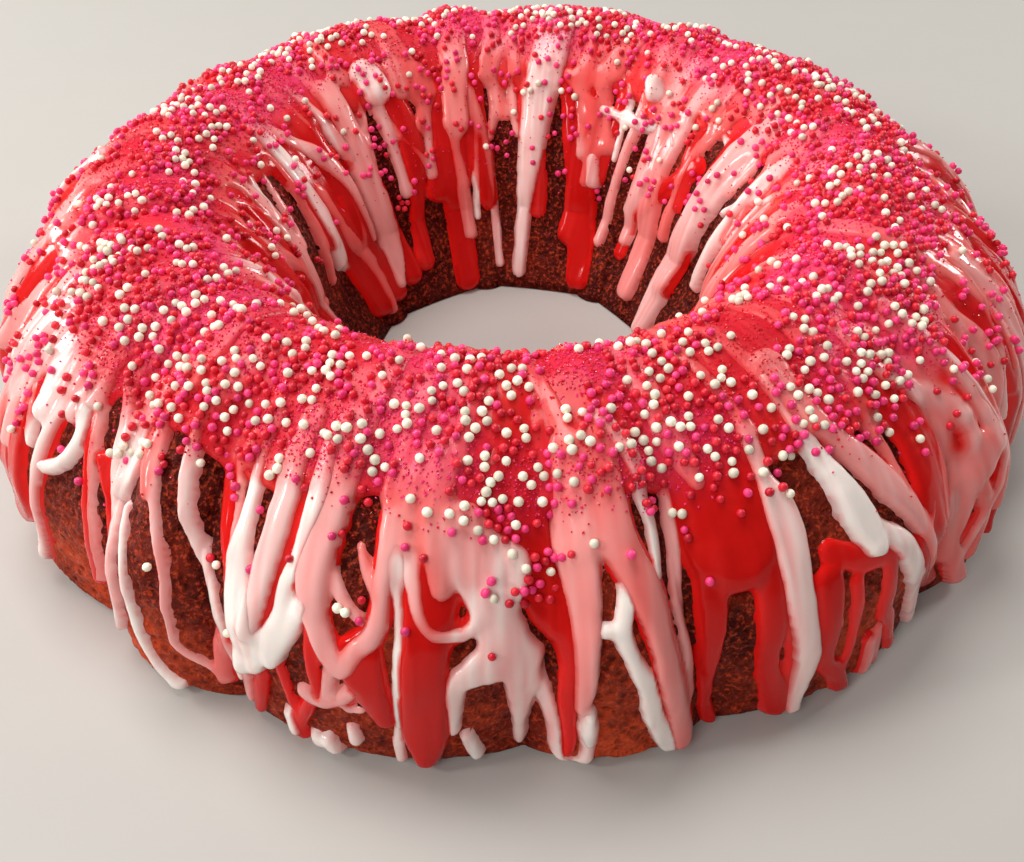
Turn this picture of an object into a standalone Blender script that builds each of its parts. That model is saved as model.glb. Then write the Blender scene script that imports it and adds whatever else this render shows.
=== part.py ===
"""A bundt cake: one fluted ring, with its poured icing and its larger sprinkles fused to it.

The ring stands on its flat base at z = 0, about the Z axis. Azimuths are in degrees from the front (-Y),
positive to the right (+X). A place on the cake is an azimuth and a length along the ring's section, which
runs from the outer foot over the crown to the foot of the hole. All sizes are in metres.
"""
import math
import random

import bmesh
import bpy
import numpy as np

# Section of the ring
FOOT_RADIUS = 0.1254
WALL_RADIUS = 0.1250
WALL_TOP = 0.0237
OUTER_ROUND = 1.61
CROWN_RADIUS = 0.0833
HEIGHT = 0.0622
HOLE_RADIUS = 0.0509
HOLE_TOP = 0.0206
INNER_ROUND = 1.63
HOLE_FOOT_RADIUS = 0.0385
FOOT_ROUNDING = 0.0015
LEVEL_BELOW = 0.012
ROUND_SAMPLES = 64
SLOPE_REACH = 0.001

# Flutes: a narrow rib and a wide one in each eighth of the ring
EIGHTHS = 8
RIB_CENTRE = 9.2
RIB_HALF_FOOT = 8.7
RIB_HALF_TOP = 5.4
RIB_NARROWS_BY = 0.045
FLUTE_WALL = 0.0065
FLUTE_CROWN = 0.0016
FLUTE_FADE = 1.7
FLUTE_MEAN = 0.70
FLUTE_POWER = 0.7

# Mesh of the ring
RIB_COLUMNS = 5
WIDE_COLUMNS = 7
SECTION_ROWS = 16
WELD = 0.00001
FINE_WELD = 0.000001
SHARP_ANGLE = 40.0

# Icing
MM = 0.001
STREAM_STEP = 0.0105
STREAM_THICKNESS = 0.0019
LOWEST_FOOT = 0.0012
LEAST_HEIGHT = 0.0004
TOP_END = 0.35
SWELLS_WITHIN = 0.2
DROP_END = 0.40
CURVE_STEPS = 12
LEAST_RINGS = 4

# Sprinkles
SPRINKLE_RADIUS = 0.0011
SPRINKLE_COUNT = 56
SPRINKLE_FIRST = 0.050
SPRINKLE_LAST = 0.112
SPRINKLE_OUT = 0.0005
SPRINKLE_DRIFT = 2.0
GOLDEN_TURN = 137.508
SEED = 7

# Streams that show at the front: colour, thickness factor, then places (azimuth, length, width), top to foot
FRONT_STREAMS = [
    ("pink", 1.2, [(-52.5, 62, 8.0), (-53.0, 42, 9.0), (-55.0, 18, 7.5), (-58.0, 4, 6.0)]),
    ("pink", 1.0, [(-45.5, 60, 6.0), (-43.6, 42, 5.0), (-40.6, 26, 6.0), (-41.6, 7, 3.0)]),
    ("white", 1.0, [(-38.8, 40, 2.8), (-37.2, 25, 3.2), (-38.0, 15, 3.6), (-33.8, 3, 4.0)]),
    ("white", 1.1, [(-34.0, 64, 4.4), (-31.5, 42, 3.8), (-28.2, 27, 3.2), (-28.3, 8, 3.6)]),
    ("white", 1.2, [(-25.8, 58, 5.0), (-24.8, 36, 7.5), (-24.4, 22, 8.0), (-26.1, 4, 3.0)]),
    ("white", 1.1, [(-18.6, 58, 7.0), (-19.2, 38, 6.0), (-21.5, 26, 5.0), (-23.6, 21, 6.0)]),
    ("pink", 1.0, [(-16.9, 52, 7.0), (-15.6, 31, 4.8), (-13.4, 31, 4.4), (-11.4, 40, 4.0), (-11.0, 56, 5.0)]),
    ("red", 1.0, [(-13.0, 30, 8.0), (-12.0, 21, 6.0), (-11.3, 14, 4.0)]),
    ("white", 0.8, [(-10.0, 58, 3.0), (-9.8, 32, 2.4), (-10.3, 4, 2.2)]),
    ("red", 1.2, [(-7.2, 62, 8.0), (-7.6, 30, 8.6), (-7.9, 1.2, 6.5)]),
    ("pink", 1.1, [(-2.0, 60, 9.0), (-1.2, 44, 10.0), (-1.6, 31, 10.0), (-4.8, 25, 4.5), (-5.4, 10, 2.8)]),
    ("pink", 1.0, [(0.4, 32, 7.0), (0.4, 18, 5.0), (0.2, 5, 2.8)]),
    ("red", 1.0, [(1.8, 56, 7.0), (3.2, 38, 6.0), (4.3, 24, 3.4), (4.4, 8, 2.6)]),
    ("pink", 1.0, [(5.6, 62, 8.0), (5.6, 44, 6.5), (5.5, 22, 4.0)]),
    ("pink", 1.0, [(3.0, 14, 2.8), (3.4, 5, 2.8), (5.0, 2.6, 2.8), (6.2, 7, 3.2)]),
    ("pink", 1.1, [(8.5, 60, 7.0), (11.3, 42, 6.6), (13.4, 20, 5.6), (14.7, 3, 5.0)]),
    ("white", 1.1, [(9.0, 40, 3.0), (9.4, 31, 3.2), (11.6, 15, 4.0), (13.4, 3, 3.4)]),
    ("red", 1.0, [(19.8, 72, 11.0), (20.2, 56, 12.0), (20.4, 42, 12.0)]),
    ("red", 1.0, [(18.2, 46, 6.0), (17.5, 20, 4.4), (18.0, 2, 3.4)]),
    ("red", 1.0, [(22.6, 46, 6.0), (22.6, 22, 4.8), (24.0, 2, 5.0)]),
    ("pink", 1.2, [(24.8, 56, 6.5), (25.2, 32, 6.4), (26.0, 16, 5.2), (25.6, 1.5, 3.8)]),
    ("red", 1.0, [(28.6, 40, 6.0), (28.4, 16, 4.8), (31.0, 2, 4.2)]),
    ("white", 1.5, [(26.5, 60, 5.0), (30.2, 49, 7.5), (33.6, 38, 8.0)]),
    ("white", 1.1, [(35.0, 38, 5.0), (38.8, 26, 5.4), (41.6, 8, 4.4), (42.6, 2, 4.0)]),
    ("pink", 1.0, [(32.0, 64, 7.0), (36.5, 48, 6.4), (40.4, 33, 4.6), (44.6, 12, 3.0)]),
    ("red", 1.0, [(44.5, 60, 10.0), (44.4, 38, 9.0), (44.0, 11, 6.0)]),
    ("pink", 1.0, [(52.0, 60, 7.0), (50.5, 34, 8.0), (47.6, 22, 4.6), (50.2, 3, 4.6)]),
]

# Streams that show on the far wall of the hole
HOLE_STREAMS = [
    ("pink", 1.0, [(140.0, 98, 9.0), (132.0, 122, 8.0), (128.0, 157, 6.0)]),
    ("red", 1.0, [(163.0, 104, 8.0), (157.0, 130, 8.0), (151.0, 160, 7.0)]),
    ("white", 1.2, [(172.0, 94, 8.0), (173.0, 118, 7.0), (174.0, 136, 4.0), (175.0, 158, 3.0)]),
    ("white", 0.9, [(187.0, 104, 3.6), (186.0, 130, 2.8), (183.5, 156, 2.6)]),
    ("red", 1.1, [(195.0, 98, 8.0), (196.0, 125, 8.0), (197.5, 161, 7.0)]),
    ("pink", 1.0, [(212.0, 106, 3.4), (206.0, 124, 3.6), (203.0, 112, 3.0)]),
    ("pink", 1.0, [(222.0, 98, 9.0), (219.0, 125, 8.0), (216.0, 160, 7.0)]),
    ("red", 1.0, [(236.0, 100, 8.0), (233.0, 130, 7.0), (229.0, 157, 6.0)]),
]

# Streams of the other sides follow a rule: one at every step, with drawn feet, leans and widths
RULE_LEAN = 0.35
RULE_MIDDLE_LEAN = 0.4
RULE_MIDDLE_WIDTH = 0.9
RULE_FOOT_WIDTH = 0.7
RULE_THICKNESS = (0.9, 1.25)
RULE_STRIDE = (0.8, 1.2)
RULE_COLOURS = ["red", "pink", "white", "pink"]
RULE_STREAMS = [
    {"first": 58.0, "last": 299.0, "step": 9.0, "top": 64, "foot": (3, 34), "width": (3.5, 8.5)},
    {"first": 248.0, "last": 480.0, "step": 16.0, "top": 98, "foot": (136, 160), "width": (4.0, 7.0)},
]

COLOURS = {
    "sponge": ((0.40, 0.15, 0.045), 0.75),
    "red": ((0.55, 0.012, 0.010), 0.22),
    "pink": ((0.78, 0.30, 0.27), 0.25),
    "white": ((0.76, 0.69, 0.61), 0.28),
    "sprinkle": ((0.85, 0.79, 0.66), 0.45),
}


def material(name):
    """A Principled material with the named finish."""
    colour, roughness = COLOURS[name]
    finish = bpy.data.materials.new(name)
    finish.use_nodes = True
    shader = finish.node_tree.nodes["Principled BSDF"]
    shader.inputs["Base Color"].default_value = (*colour, 1.0)
    shader.inputs["Roughness"].default_value = roughness
    shader.inputs["Metallic"].default_value = 0.0
    finish.diffuse_color = (*colour, 1.0)
    return finish


def mean_section():
    """Radius, height and running length of the section without its flutes, evenly spaced in length."""
    turn = np.linspace(0.0, math.pi / 2, ROUND_SAMPLES)
    outer_r = CROWN_RADIUS + (WALL_RADIUS - CROWN_RADIUS) * np.cos(turn) ** (2 / OUTER_ROUND)
    outer_z = WALL_TOP + (HEIGHT - WALL_TOP) * np.sin(turn) ** (2 / OUTER_ROUND)
    back = turn[::-1]
    inner_r = CROWN_RADIUS - (CROWN_RADIUS - HOLE_RADIUS) * np.cos(back) ** (2 / INNER_ROUND)
    inner_z = HOLE_TOP + (HEIGHT - HOLE_TOP) * np.sin(back) ** (2 / INNER_ROUND)
    foot_r = [FOOT_RADIUS - FOOT_ROUNDING, FOOT_RADIUS]
    foot_z = [0.0, FOOT_ROUNDING]
    radius = np.concatenate([foot_r, outer_r, inner_r[1:], [HOLE_FOOT_RADIUS]])
    height = np.concatenate([foot_z, outer_z, inner_z[1:], [0.0]])
    length = np.concatenate([[0.0], np.cumsum(np.hypot(np.diff(radius), np.diff(height)))])
    even = np.linspace(0.0, length[-1], 4 * ROUND_SAMPLES)
    return np.interp(even, length, radius), np.interp(even, length, height), even


RADIUS, SECTION_HEIGHT, LENGTH = mean_section()
CROWN_LENGTH = float(LENGTH[np.argmax(SECTION_HEIGHT)])
SECTION_LENGTH = float(LENGTH[-1])
EIGHTH = 360.0 / EIGHTHS


def smooth(value):
    """An even step from 0 to 1."""
    value = min(1.0, max(0.0, value))
    return value * value * (3.0 - 2.0 * value)


def rib_half_width(length):
    """Half the narrow rib's angle: it narrows from the foot up to the shoulder."""
    return RIB_HALF_FOOT + (RIB_HALF_TOP - RIB_HALF_FOOT) * smooth(length / RIB_NARROWS_BY)


def flute_depth(length):
    """Depth of the creases: full on the outer wall, shallow over the crown and in the hole."""
    from_crown = (CROWN_LENGTH - length) / CROWN_LENGTH
    return FLUTE_CROWN + (FLUTE_WALL - FLUTE_CROWN) * smooth(FLUTE_FADE * from_crown)


def flute(azimuth, length):
    """How far the flutes move the wall out from the mean section, crests positive."""
    half = rib_half_width(length)
    within = (azimuth - RIB_CENTRE + half) % EIGHTH
    rib = 2.0 * half
    share = within / rib if within < rib else (within - rib) / (EIGHTH - rib)
    return flute_depth(length) * (math.sin(math.pi * share) ** FLUTE_POWER - FLUTE_MEAN)


def place(azimuth, length, out=0.0):
    """The point of the surface at an azimuth and section length, moved out along the section's normal.

    Near the base the move is level, so that the base stays flat.
    """
    radius = float(np.interp(length, LENGTH, RADIUS))
    height = float(np.interp(length, LENGTH, SECTION_HEIGHT))
    ahead = min(SECTION_LENGTH, length + SLOPE_REACH)
    behind = max(0.0, length - SLOPE_REACH)
    run = float(np.interp(ahead, LENGTH, RADIUS) - np.interp(behind, LENGTH, RADIUS))
    rise = float(np.interp(ahead, LENGTH, SECTION_HEIGHT) - np.interp(behind, LENGTH, SECTION_HEIGHT))
    span = math.hypot(run, rise)
    move = out + flute(azimuth, length)
    radius += rise / span * move
    height += -run / span * move * smooth(height / LEVEL_BELOW)
    turn = math.radians(azimuth)
    return (radius * math.sin(turn), -radius * math.cos(turn), height)


def column_azimuth(column, length):
    """Azimuth of a mesh column, so that every crease has a column of its own."""
    eighth, within = divmod(column, RIB_COLUMNS + WIDE_COLUMNS)
    half = rib_half_width(length)
    start = eighth * EIGHTH + RIB_CENTRE - half
    if within <= RIB_COLUMNS:
        return start + 2.0 * half * within / RIB_COLUMNS
    return start + 2.0 * half + (EIGHTH - 2.0 * half) * (within - RIB_COLUMNS) / WIDE_COLUMNS


def new_object(name, mesh, collection):
    """An object for a mesh, linked to a collection."""
    thing = bpy.data.objects.new(name, mesh)
    collection.objects.link(thing)
    return thing


def evaluated_mesh(thing):
    """The mesh of an object with its modifiers or bevel applied."""
    bpy.context.view_layer.update()
    graph = bpy.context.evaluated_depsgraph_get()
    return bpy.data.meshes.new_from_object(thing.evaluated_get(graph))


def fluted_ring(collection):
    """The ring: a section turned about Z with Screw, whose columns are then moved out to the flutes."""
    lengths = np.linspace(0.0, SECTION_LENGTH, SECTION_ROWS)
    radii = np.interp(lengths, LENGTH, RADIUS)
    heights = np.interp(lengths, LENGTH, SECTION_HEIGHT)
    rows = list(zip(radii.tolist(), heights.tolist()))
    shape = bmesh.new()
    corners = [shape.verts.new((radius, 0.0, height)) for radius, height in reversed(rows)]
    for this, following in zip(corners, corners[1:] + corners[:1]):
        shape.edges.new((this, following))
    section = bpy.data.meshes.new("section")
    shape.to_mesh(section)
    shape.free()
    turned = new_object("turned_section", section, collection)
    columns = EIGHTHS * (RIB_COLUMNS + WIDE_COLUMNS)
    screw = turned.modifiers.new("turn", "SCREW")
    screw.axis = "Z"
    screw.angle = 2.0 * math.pi
    screw.steps = columns
    screw.render_steps = columns
    screw.use_merge_vertices = True
    screw.merge_threshold = WELD
    screw.use_normal_calculate = True
    mesh = evaluated_mesh(turned)
    bpy.data.objects.remove(turned)
    for vertex in mesh.vertices:
        x, y, height = vertex.co
        radius = math.hypot(x, y)
        column = round(math.degrees(math.atan2(x, -y)) % 360.0 / (360.0 / columns)) % columns
        row = min(range(SECTION_ROWS), key=lambda k: math.hypot(rows[k][0] - radius, rows[k][1] - height))
        length = float(lengths[row])
        vertex.co = place(column_azimuth(column, length), length)
    shape = bmesh.new()
    shape.from_mesh(mesh)
    bmesh.ops.recalc_face_normals(shape, faces=shape.faces)
    shape.to_mesh(mesh)
    shape.free()
    mesh.materials.append(material("sponge"))
    return new_object("bundt_cake", mesh, collection)


def smooth_route(places):
    """Even points along a smooth curve through the given places, as (azimuth, length, width, share)."""
    knots = [places[0]] + list(places) + [places[-1]]
    fine = []
    for k in range(1, len(knots) - 2):
        before, start, end, after = knots[k - 1:k + 3]
        for step in range(CURVE_STEPS):
            t = step / CURVE_STEPS
            fine.append([
                0.5 * (2 * start[i] + (end[i] - before[i]) * t
                       + (2 * before[i] - 5 * start[i] + 4 * end[i] - after[i]) * t * t
                       + (3 * start[i] - before[i] - 3 * end[i] + after[i]) * t * t * t)
                for i in range(3)])
    fine.append(list(places[-1]))
    world = np.array([place(azimuth, length * MM) for azimuth, length, _ in fine])
    run = np.concatenate([[0.0], np.cumsum(np.linalg.norm(np.diff(world, axis=0), axis=1))])
    count = max(LEAST_RINGS, round(run[-1] / STREAM_STEP) + 1)
    shares = np.linspace(0.0, 1.0, count)
    columns = [np.interp(shares * run[-1], run, [point[i] for point in fine]) for i in range(3)]
    return list(zip(columns[0], columns[1] * MM, columns[2] * MM, shares))


def sunk_radius(width, thickness):
    """Radius of a round tube that shows this width when it stands this thickness above the wall."""
    return (width * width / 4.0 + thickness * thickness) / (2.0 * thickness)


def stream(name, colour, thickness_factor, places, collection):
    """A poured stream: a round tube, sunk so far that its width and thickness show above the wall."""
    thickness = STREAM_THICKNESS * thickness_factor
    route = smooth_route(places)
    curve = bpy.data.curves.new(name, "CURVE")
    curve.dimensions = "3D"
    curve.bevel_depth = MM
    curve.bevel_resolution = 1
    curve.use_fill_caps = True
    spline = curve.splines.new("POLY")
    spline.points.add(len(route) - 1)
    for point, (azimuth, length, width, share) in zip(spline.points, route):
        swell = DROP_END if share == 1.0 else min(1.0, TOP_END + share / SWELLS_WITHIN)
        radius = sunk_radius(width, thickness)
        point.co = (*place(azimuth, max(length, LOWEST_FOOT), (thickness - radius) * swell), 1.0)
        point.radius = radius * swell / MM
    guide = new_object(name, curve, collection)
    mesh = evaluated_mesh(guide)
    bpy.data.objects.remove(guide)
    shape = bmesh.new()
    shape.from_mesh(mesh)
    bmesh.ops.remove_doubles(shape, verts=shape.verts, dist=WELD)
    bmesh.ops.recalc_face_normals(shape, faces=shape.faces)
    for vertex in shape.verts:
        vertex.co.z = max(vertex.co.z, LEAST_HEIGHT)
    shape.to_mesh(mesh)
    shape.free()
    mesh.materials.append(material(colour))
    return new_object(name, mesh, collection)


def rule_streams(rule, draw):
    """The streams that follow a rule, in the form of the lists above."""
    azimuth = rule["first"]
    while azimuth < rule["last"]:
        lean = draw.uniform(-RULE_LEAN, RULE_LEAN) * rule["step"]
        foot = draw.uniform(*rule["foot"])
        width = draw.uniform(*rule["width"])
        top = rule["top"]
        places = [
            (azimuth, top, width),
            (azimuth + RULE_MIDDLE_LEAN * lean, 0.5 * (top + foot), RULE_MIDDLE_WIDTH * width),
            (azimuth + lean, foot, RULE_FOOT_WIDTH * width),
        ]
        yield draw.choice(RULE_COLOURS), draw.uniform(*RULE_THICKNESS), places
        azimuth += rule["step"] * draw.uniform(*RULE_STRIDE)


def sprinkles(collection, draw):
    """The largest sprinkles, spread evenly over the crown by the golden turn, half sunk in the icing."""
    shape = bmesh.new()
    for k in range(SPRINKLE_COUNT):
        azimuth = k * GOLDEN_TURN + draw.uniform(-SPRINKLE_DRIFT, SPRINKLE_DRIFT)
        share = (k + 0.5) / SPRINKLE_COUNT
        length = SPRINKLE_FIRST + (SPRINKLE_LAST - SPRINKLE_FIRST) * share
        made = bmesh.ops.create_icosphere(shape, subdivisions=1, radius=SPRINKLE_RADIUS)
        bmesh.ops.translate(shape, verts=made["verts"], vec=place(azimuth, length, SPRINKLE_OUT))
    mesh = bpy.data.meshes.new("sprinkles")
    shape.to_mesh(mesh)
    shape.free()
    mesh.materials.append(material("sprinkle"))
    return new_object("sprinkles", mesh, collection)


def keep_largest_shell(mesh):
    """Drops sealed hollows and loose scraps, so that one closed body stays."""
    shape = bmesh.new()
    shape.from_mesh(mesh)
    bmesh.ops.remove_doubles(shape, verts=shape.verts, dist=FINE_WELD)
    unseen = set(shape.faces)
    shells = []
    while unseen:
        front = [unseen.pop()]
        shell = list(front)
        while front:
            face = front.pop()
            for edge in face.edges:
                for neighbour in edge.link_faces:
                    if neighbour in unseen:
                        unseen.remove(neighbour)
                        front.append(neighbour)
                        shell.append(neighbour)
        shells.append(shell)
    shells.sort(key=len)
    for shell in shells[:-1]:
        bmesh.ops.delete(shape, geom=shell, context="FACES")
    bmesh.ops.triangulate(shape, faces=shape.faces)
    shape.to_mesh(mesh)
    shape.free()


def fuse(cake, toppings):
    """Joins all toppings to the ring with one union and removes their objects."""
    union = cake.modifiers.new("toppings", "BOOLEAN")
    union.operation = "UNION"
    union.operand_type = "COLLECTION"
    union.collection = toppings
    union.solver = "MANIFOLD"
    mesh = evaluated_mesh(cake)
    cake.modifiers.clear()
    keep_largest_shell(mesh)
    cake.data = mesh
    for topping in list(toppings.objects):
        bpy.data.objects.remove(topping)
    bpy.data.collections.remove(toppings)
    mesh.shade_smooth()
    mesh.set_sharp_from_angle(angle=math.radians(SHARP_ANGLE))


def build():
    """Clears the scene and models the cake."""
    for thing in list(bpy.data.objects):
        bpy.data.objects.remove(thing)
    cake_collection = bpy.data.collections.new("Bundt cake")
    toppings = bpy.data.collections.new("Toppings")
    bpy.context.scene.collection.children.link(cake_collection)
    bpy.context.scene.collection.children.link(toppings)
    draw = random.Random(SEED)
    cake = fluted_ring(cake_collection)
    plans = FRONT_STREAMS + HOLE_STREAMS
    for rule in RULE_STREAMS:
        plans = plans + list(rule_streams(rule, draw))
    for number, (colour, thickness_factor, places) in enumerate(plans):
        stream(f"stream_{number:02d}", colour, thickness_factor, places, toppings)
    sprinkles(toppings, draw)
    fuse(cake, toppings)


build()
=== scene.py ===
"""The looks of the bundt cake: pitted sponge, poured icing in three colours, sprinkles and sugar."""
import functools
import itertools
import math
import random

import bpy
import numpy as np
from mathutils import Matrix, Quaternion, Vector


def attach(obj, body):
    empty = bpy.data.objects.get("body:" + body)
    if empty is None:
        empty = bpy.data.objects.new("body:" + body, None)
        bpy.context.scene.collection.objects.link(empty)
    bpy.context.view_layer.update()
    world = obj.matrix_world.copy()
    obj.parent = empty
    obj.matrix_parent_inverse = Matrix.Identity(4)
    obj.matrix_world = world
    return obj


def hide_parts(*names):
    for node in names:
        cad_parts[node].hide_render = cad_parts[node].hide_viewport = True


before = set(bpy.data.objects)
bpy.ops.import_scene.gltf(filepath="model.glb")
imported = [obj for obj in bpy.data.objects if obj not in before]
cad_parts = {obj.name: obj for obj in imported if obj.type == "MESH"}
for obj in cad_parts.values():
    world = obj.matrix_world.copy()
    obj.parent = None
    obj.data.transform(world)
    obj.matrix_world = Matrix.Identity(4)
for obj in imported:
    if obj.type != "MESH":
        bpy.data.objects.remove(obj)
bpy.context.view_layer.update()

bl_info = {
    "name": "Bundt cake",
    "version": (1, 0, 0),
    "blender": (4, 5, 0),
    "location": "View3D > Sidebar > Bundt cake",
    "description": "Dresses the ring cake with sponge, poured icing, sprinkles and sugar",
    "category": "Object",
}

BODY = "root"
NODE = "bundt_cake"
MM = 0.001

# Section of the ring, as in the solid
FOOT_RADIUS = 0.1254
WALL_RADIUS = 0.1250
WALL_TOP = 0.0237
OUTER_ROUND = 1.61
CROWN_RADIUS = 0.0833
HEIGHT = 0.0622
HOLE_RADIUS = 0.0509
HOLE_TOP = 0.0206
INNER_ROUND = 1.63
HOLE_FOOT_RADIUS = 0.0385
FOOT_ROUNDING = 0.0015
LEVEL_BELOW = 0.012
ROUND_SAMPLES = 64
SLOPE_REACH = 0.001

# Flutes: a narrow rib and a wide one in each eighth of the ring
EIGHTHS = 8
RIB_CENTRE = 9.2
RIB_HALF_FOOT = 8.7
RIB_HALF_TOP = 5.4
RIB_NARROWS_BY = 0.045
FLUTE_WALL = 0.0065
FLUTE_CROWN = 0.0016
FLUTE_FADE = 1.7
FLUTE_MEAN = 0.70
FLUTE_POWER = 0.7

# Fields over the surface are held on a raster of azimuths and section lengths
WELD = 0.000002
UNDERSIDE_ROWS = 3
RASTER_COLUMNS = 1440
RASTER_ROWS = 333
NOTHING = -50.0

# Azimuths of mesh columns lie closer together at the front
FRONT_HALF = 75.0
FRONT_SHARE = 0.56

# Streams that show at the front, top to foot: tint, thickness factor, then (azimuth, length, width)
RED_STREAMS = [
    (0.00, 1.0, [(-57, 66, 8), (-57.5, 40, 7), (-57.5, 22, 9), (-59.5, 14, 8)]),
    (0.00, 1.0, [(-60.5, 34, 4), (-60.8, 20, 4), (-61.5, 8, 3.4)]),
    (0.05, 1.0, [(-45, 46, 3), (-42.8, 37, 2.6), (-42.2, 26, 2.6), (-43.8, 12, 2.6), (-44.5, 7, 2.4)]),
    (0.00, 1.0, [(44, 54, 7), (43, 42, 7), (42, 31, 6), (43.2, 18, 3.5)]),
    (0.05, 0.9, [(-23, 22, 3), (-23.8, 12, 3.5), (-24.8, 3, 3)]),
    (0.00, 0.9, [(-20.8, 24, 2.2), (-20.3, 14, 2), (-19.6, 1, 2.6)]),
    (0.00, 0.9, [(-18, 16, 2.6), (-19.2, 9, 2.6), (-20.2, 3, 2)]),
    (0.00, 0.9, [(-17.2, 34, 3), (-17.4, 26, 2.6), (-17, 18, 2.2)]),
    (0.00, 1.0, [(-13, 30, 9), (-12, 22, 6.5), (-11.2, 15, 4)]),
    (0.00, 1.2, [(-7.2, 66, 7), (-7, 45, 9), (-7.6, 30, 8.5), (-7.8, 15, 9), (-7.9, 7, 7), (-8, 0.6, 2.6)]),
    (0.05, 0.8, [(-30.8, 64, 3.2), (-29.5, 57, 4), (-28.5, 49, 3.6), (-27.2, 41, 3), (-25.8, 28, 2)]),
    (0.05, 0.7, [(-49.4, 58, 3.6), (-48.2, 52, 3.4), (-46.4, 43, 3.2), (-45.6, 36, 3.2), (-45, 27, 3.2),
                 (-46.2, 12, 3)]),
    (0.00, 1.0, [(0.8, 60, 9), (1.5, 50, 9), (3, 40, 8), (4.3, 30, 3.5), (4.2, 20, 3), (4.5, 8, 2.2),
                 (4.3, 4, 1.8)]),
    (0.00, 1.0, [(19.5, 78, 16), (20, 60, 18), (20, 46, 18)]),
    (0.00, 1.0, [(17.6, 40, 6), (17.3, 20, 4), (17.6, 8, 3), (18.2, 1.5, 3)]),
    (0.00, 1.0, [(22.8, 40, 6), (22.6, 20, 4.5), (23.8, 8, 5), (24.2, 1, 5)]),
    (0.00, 1.0, [(28.3, 34, 6), (28.2, 15, 4.5), (30, 8, 4.5), (31.2, 1, 4)]),
    (0.06, 0.4, [(29, 39, 5), (33, 34, 5), (37, 33, 4.5)]),
    (0.10, 0.6, [(31.2, 31, 3), (31.3, 15, 2.6), (31, 10, 2.2)]),
    (0.06, 0.7, [(35.5, 33, 4), (35.2, 20, 4.5), (36.5, 14, 4), (38.2, 3, 3.5)]),
    (0.00, 1.0, [(41, 30, 7), (43.5, 18, 8), (46, 8, 6)]),
    (0.05, 1.0, [(44, 66, 12), (45, 40, 14), (44, 30, 12)]),
    (0.05, 1.0, [(51, 60, 14), (50, 40, 10)]),
]
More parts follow.
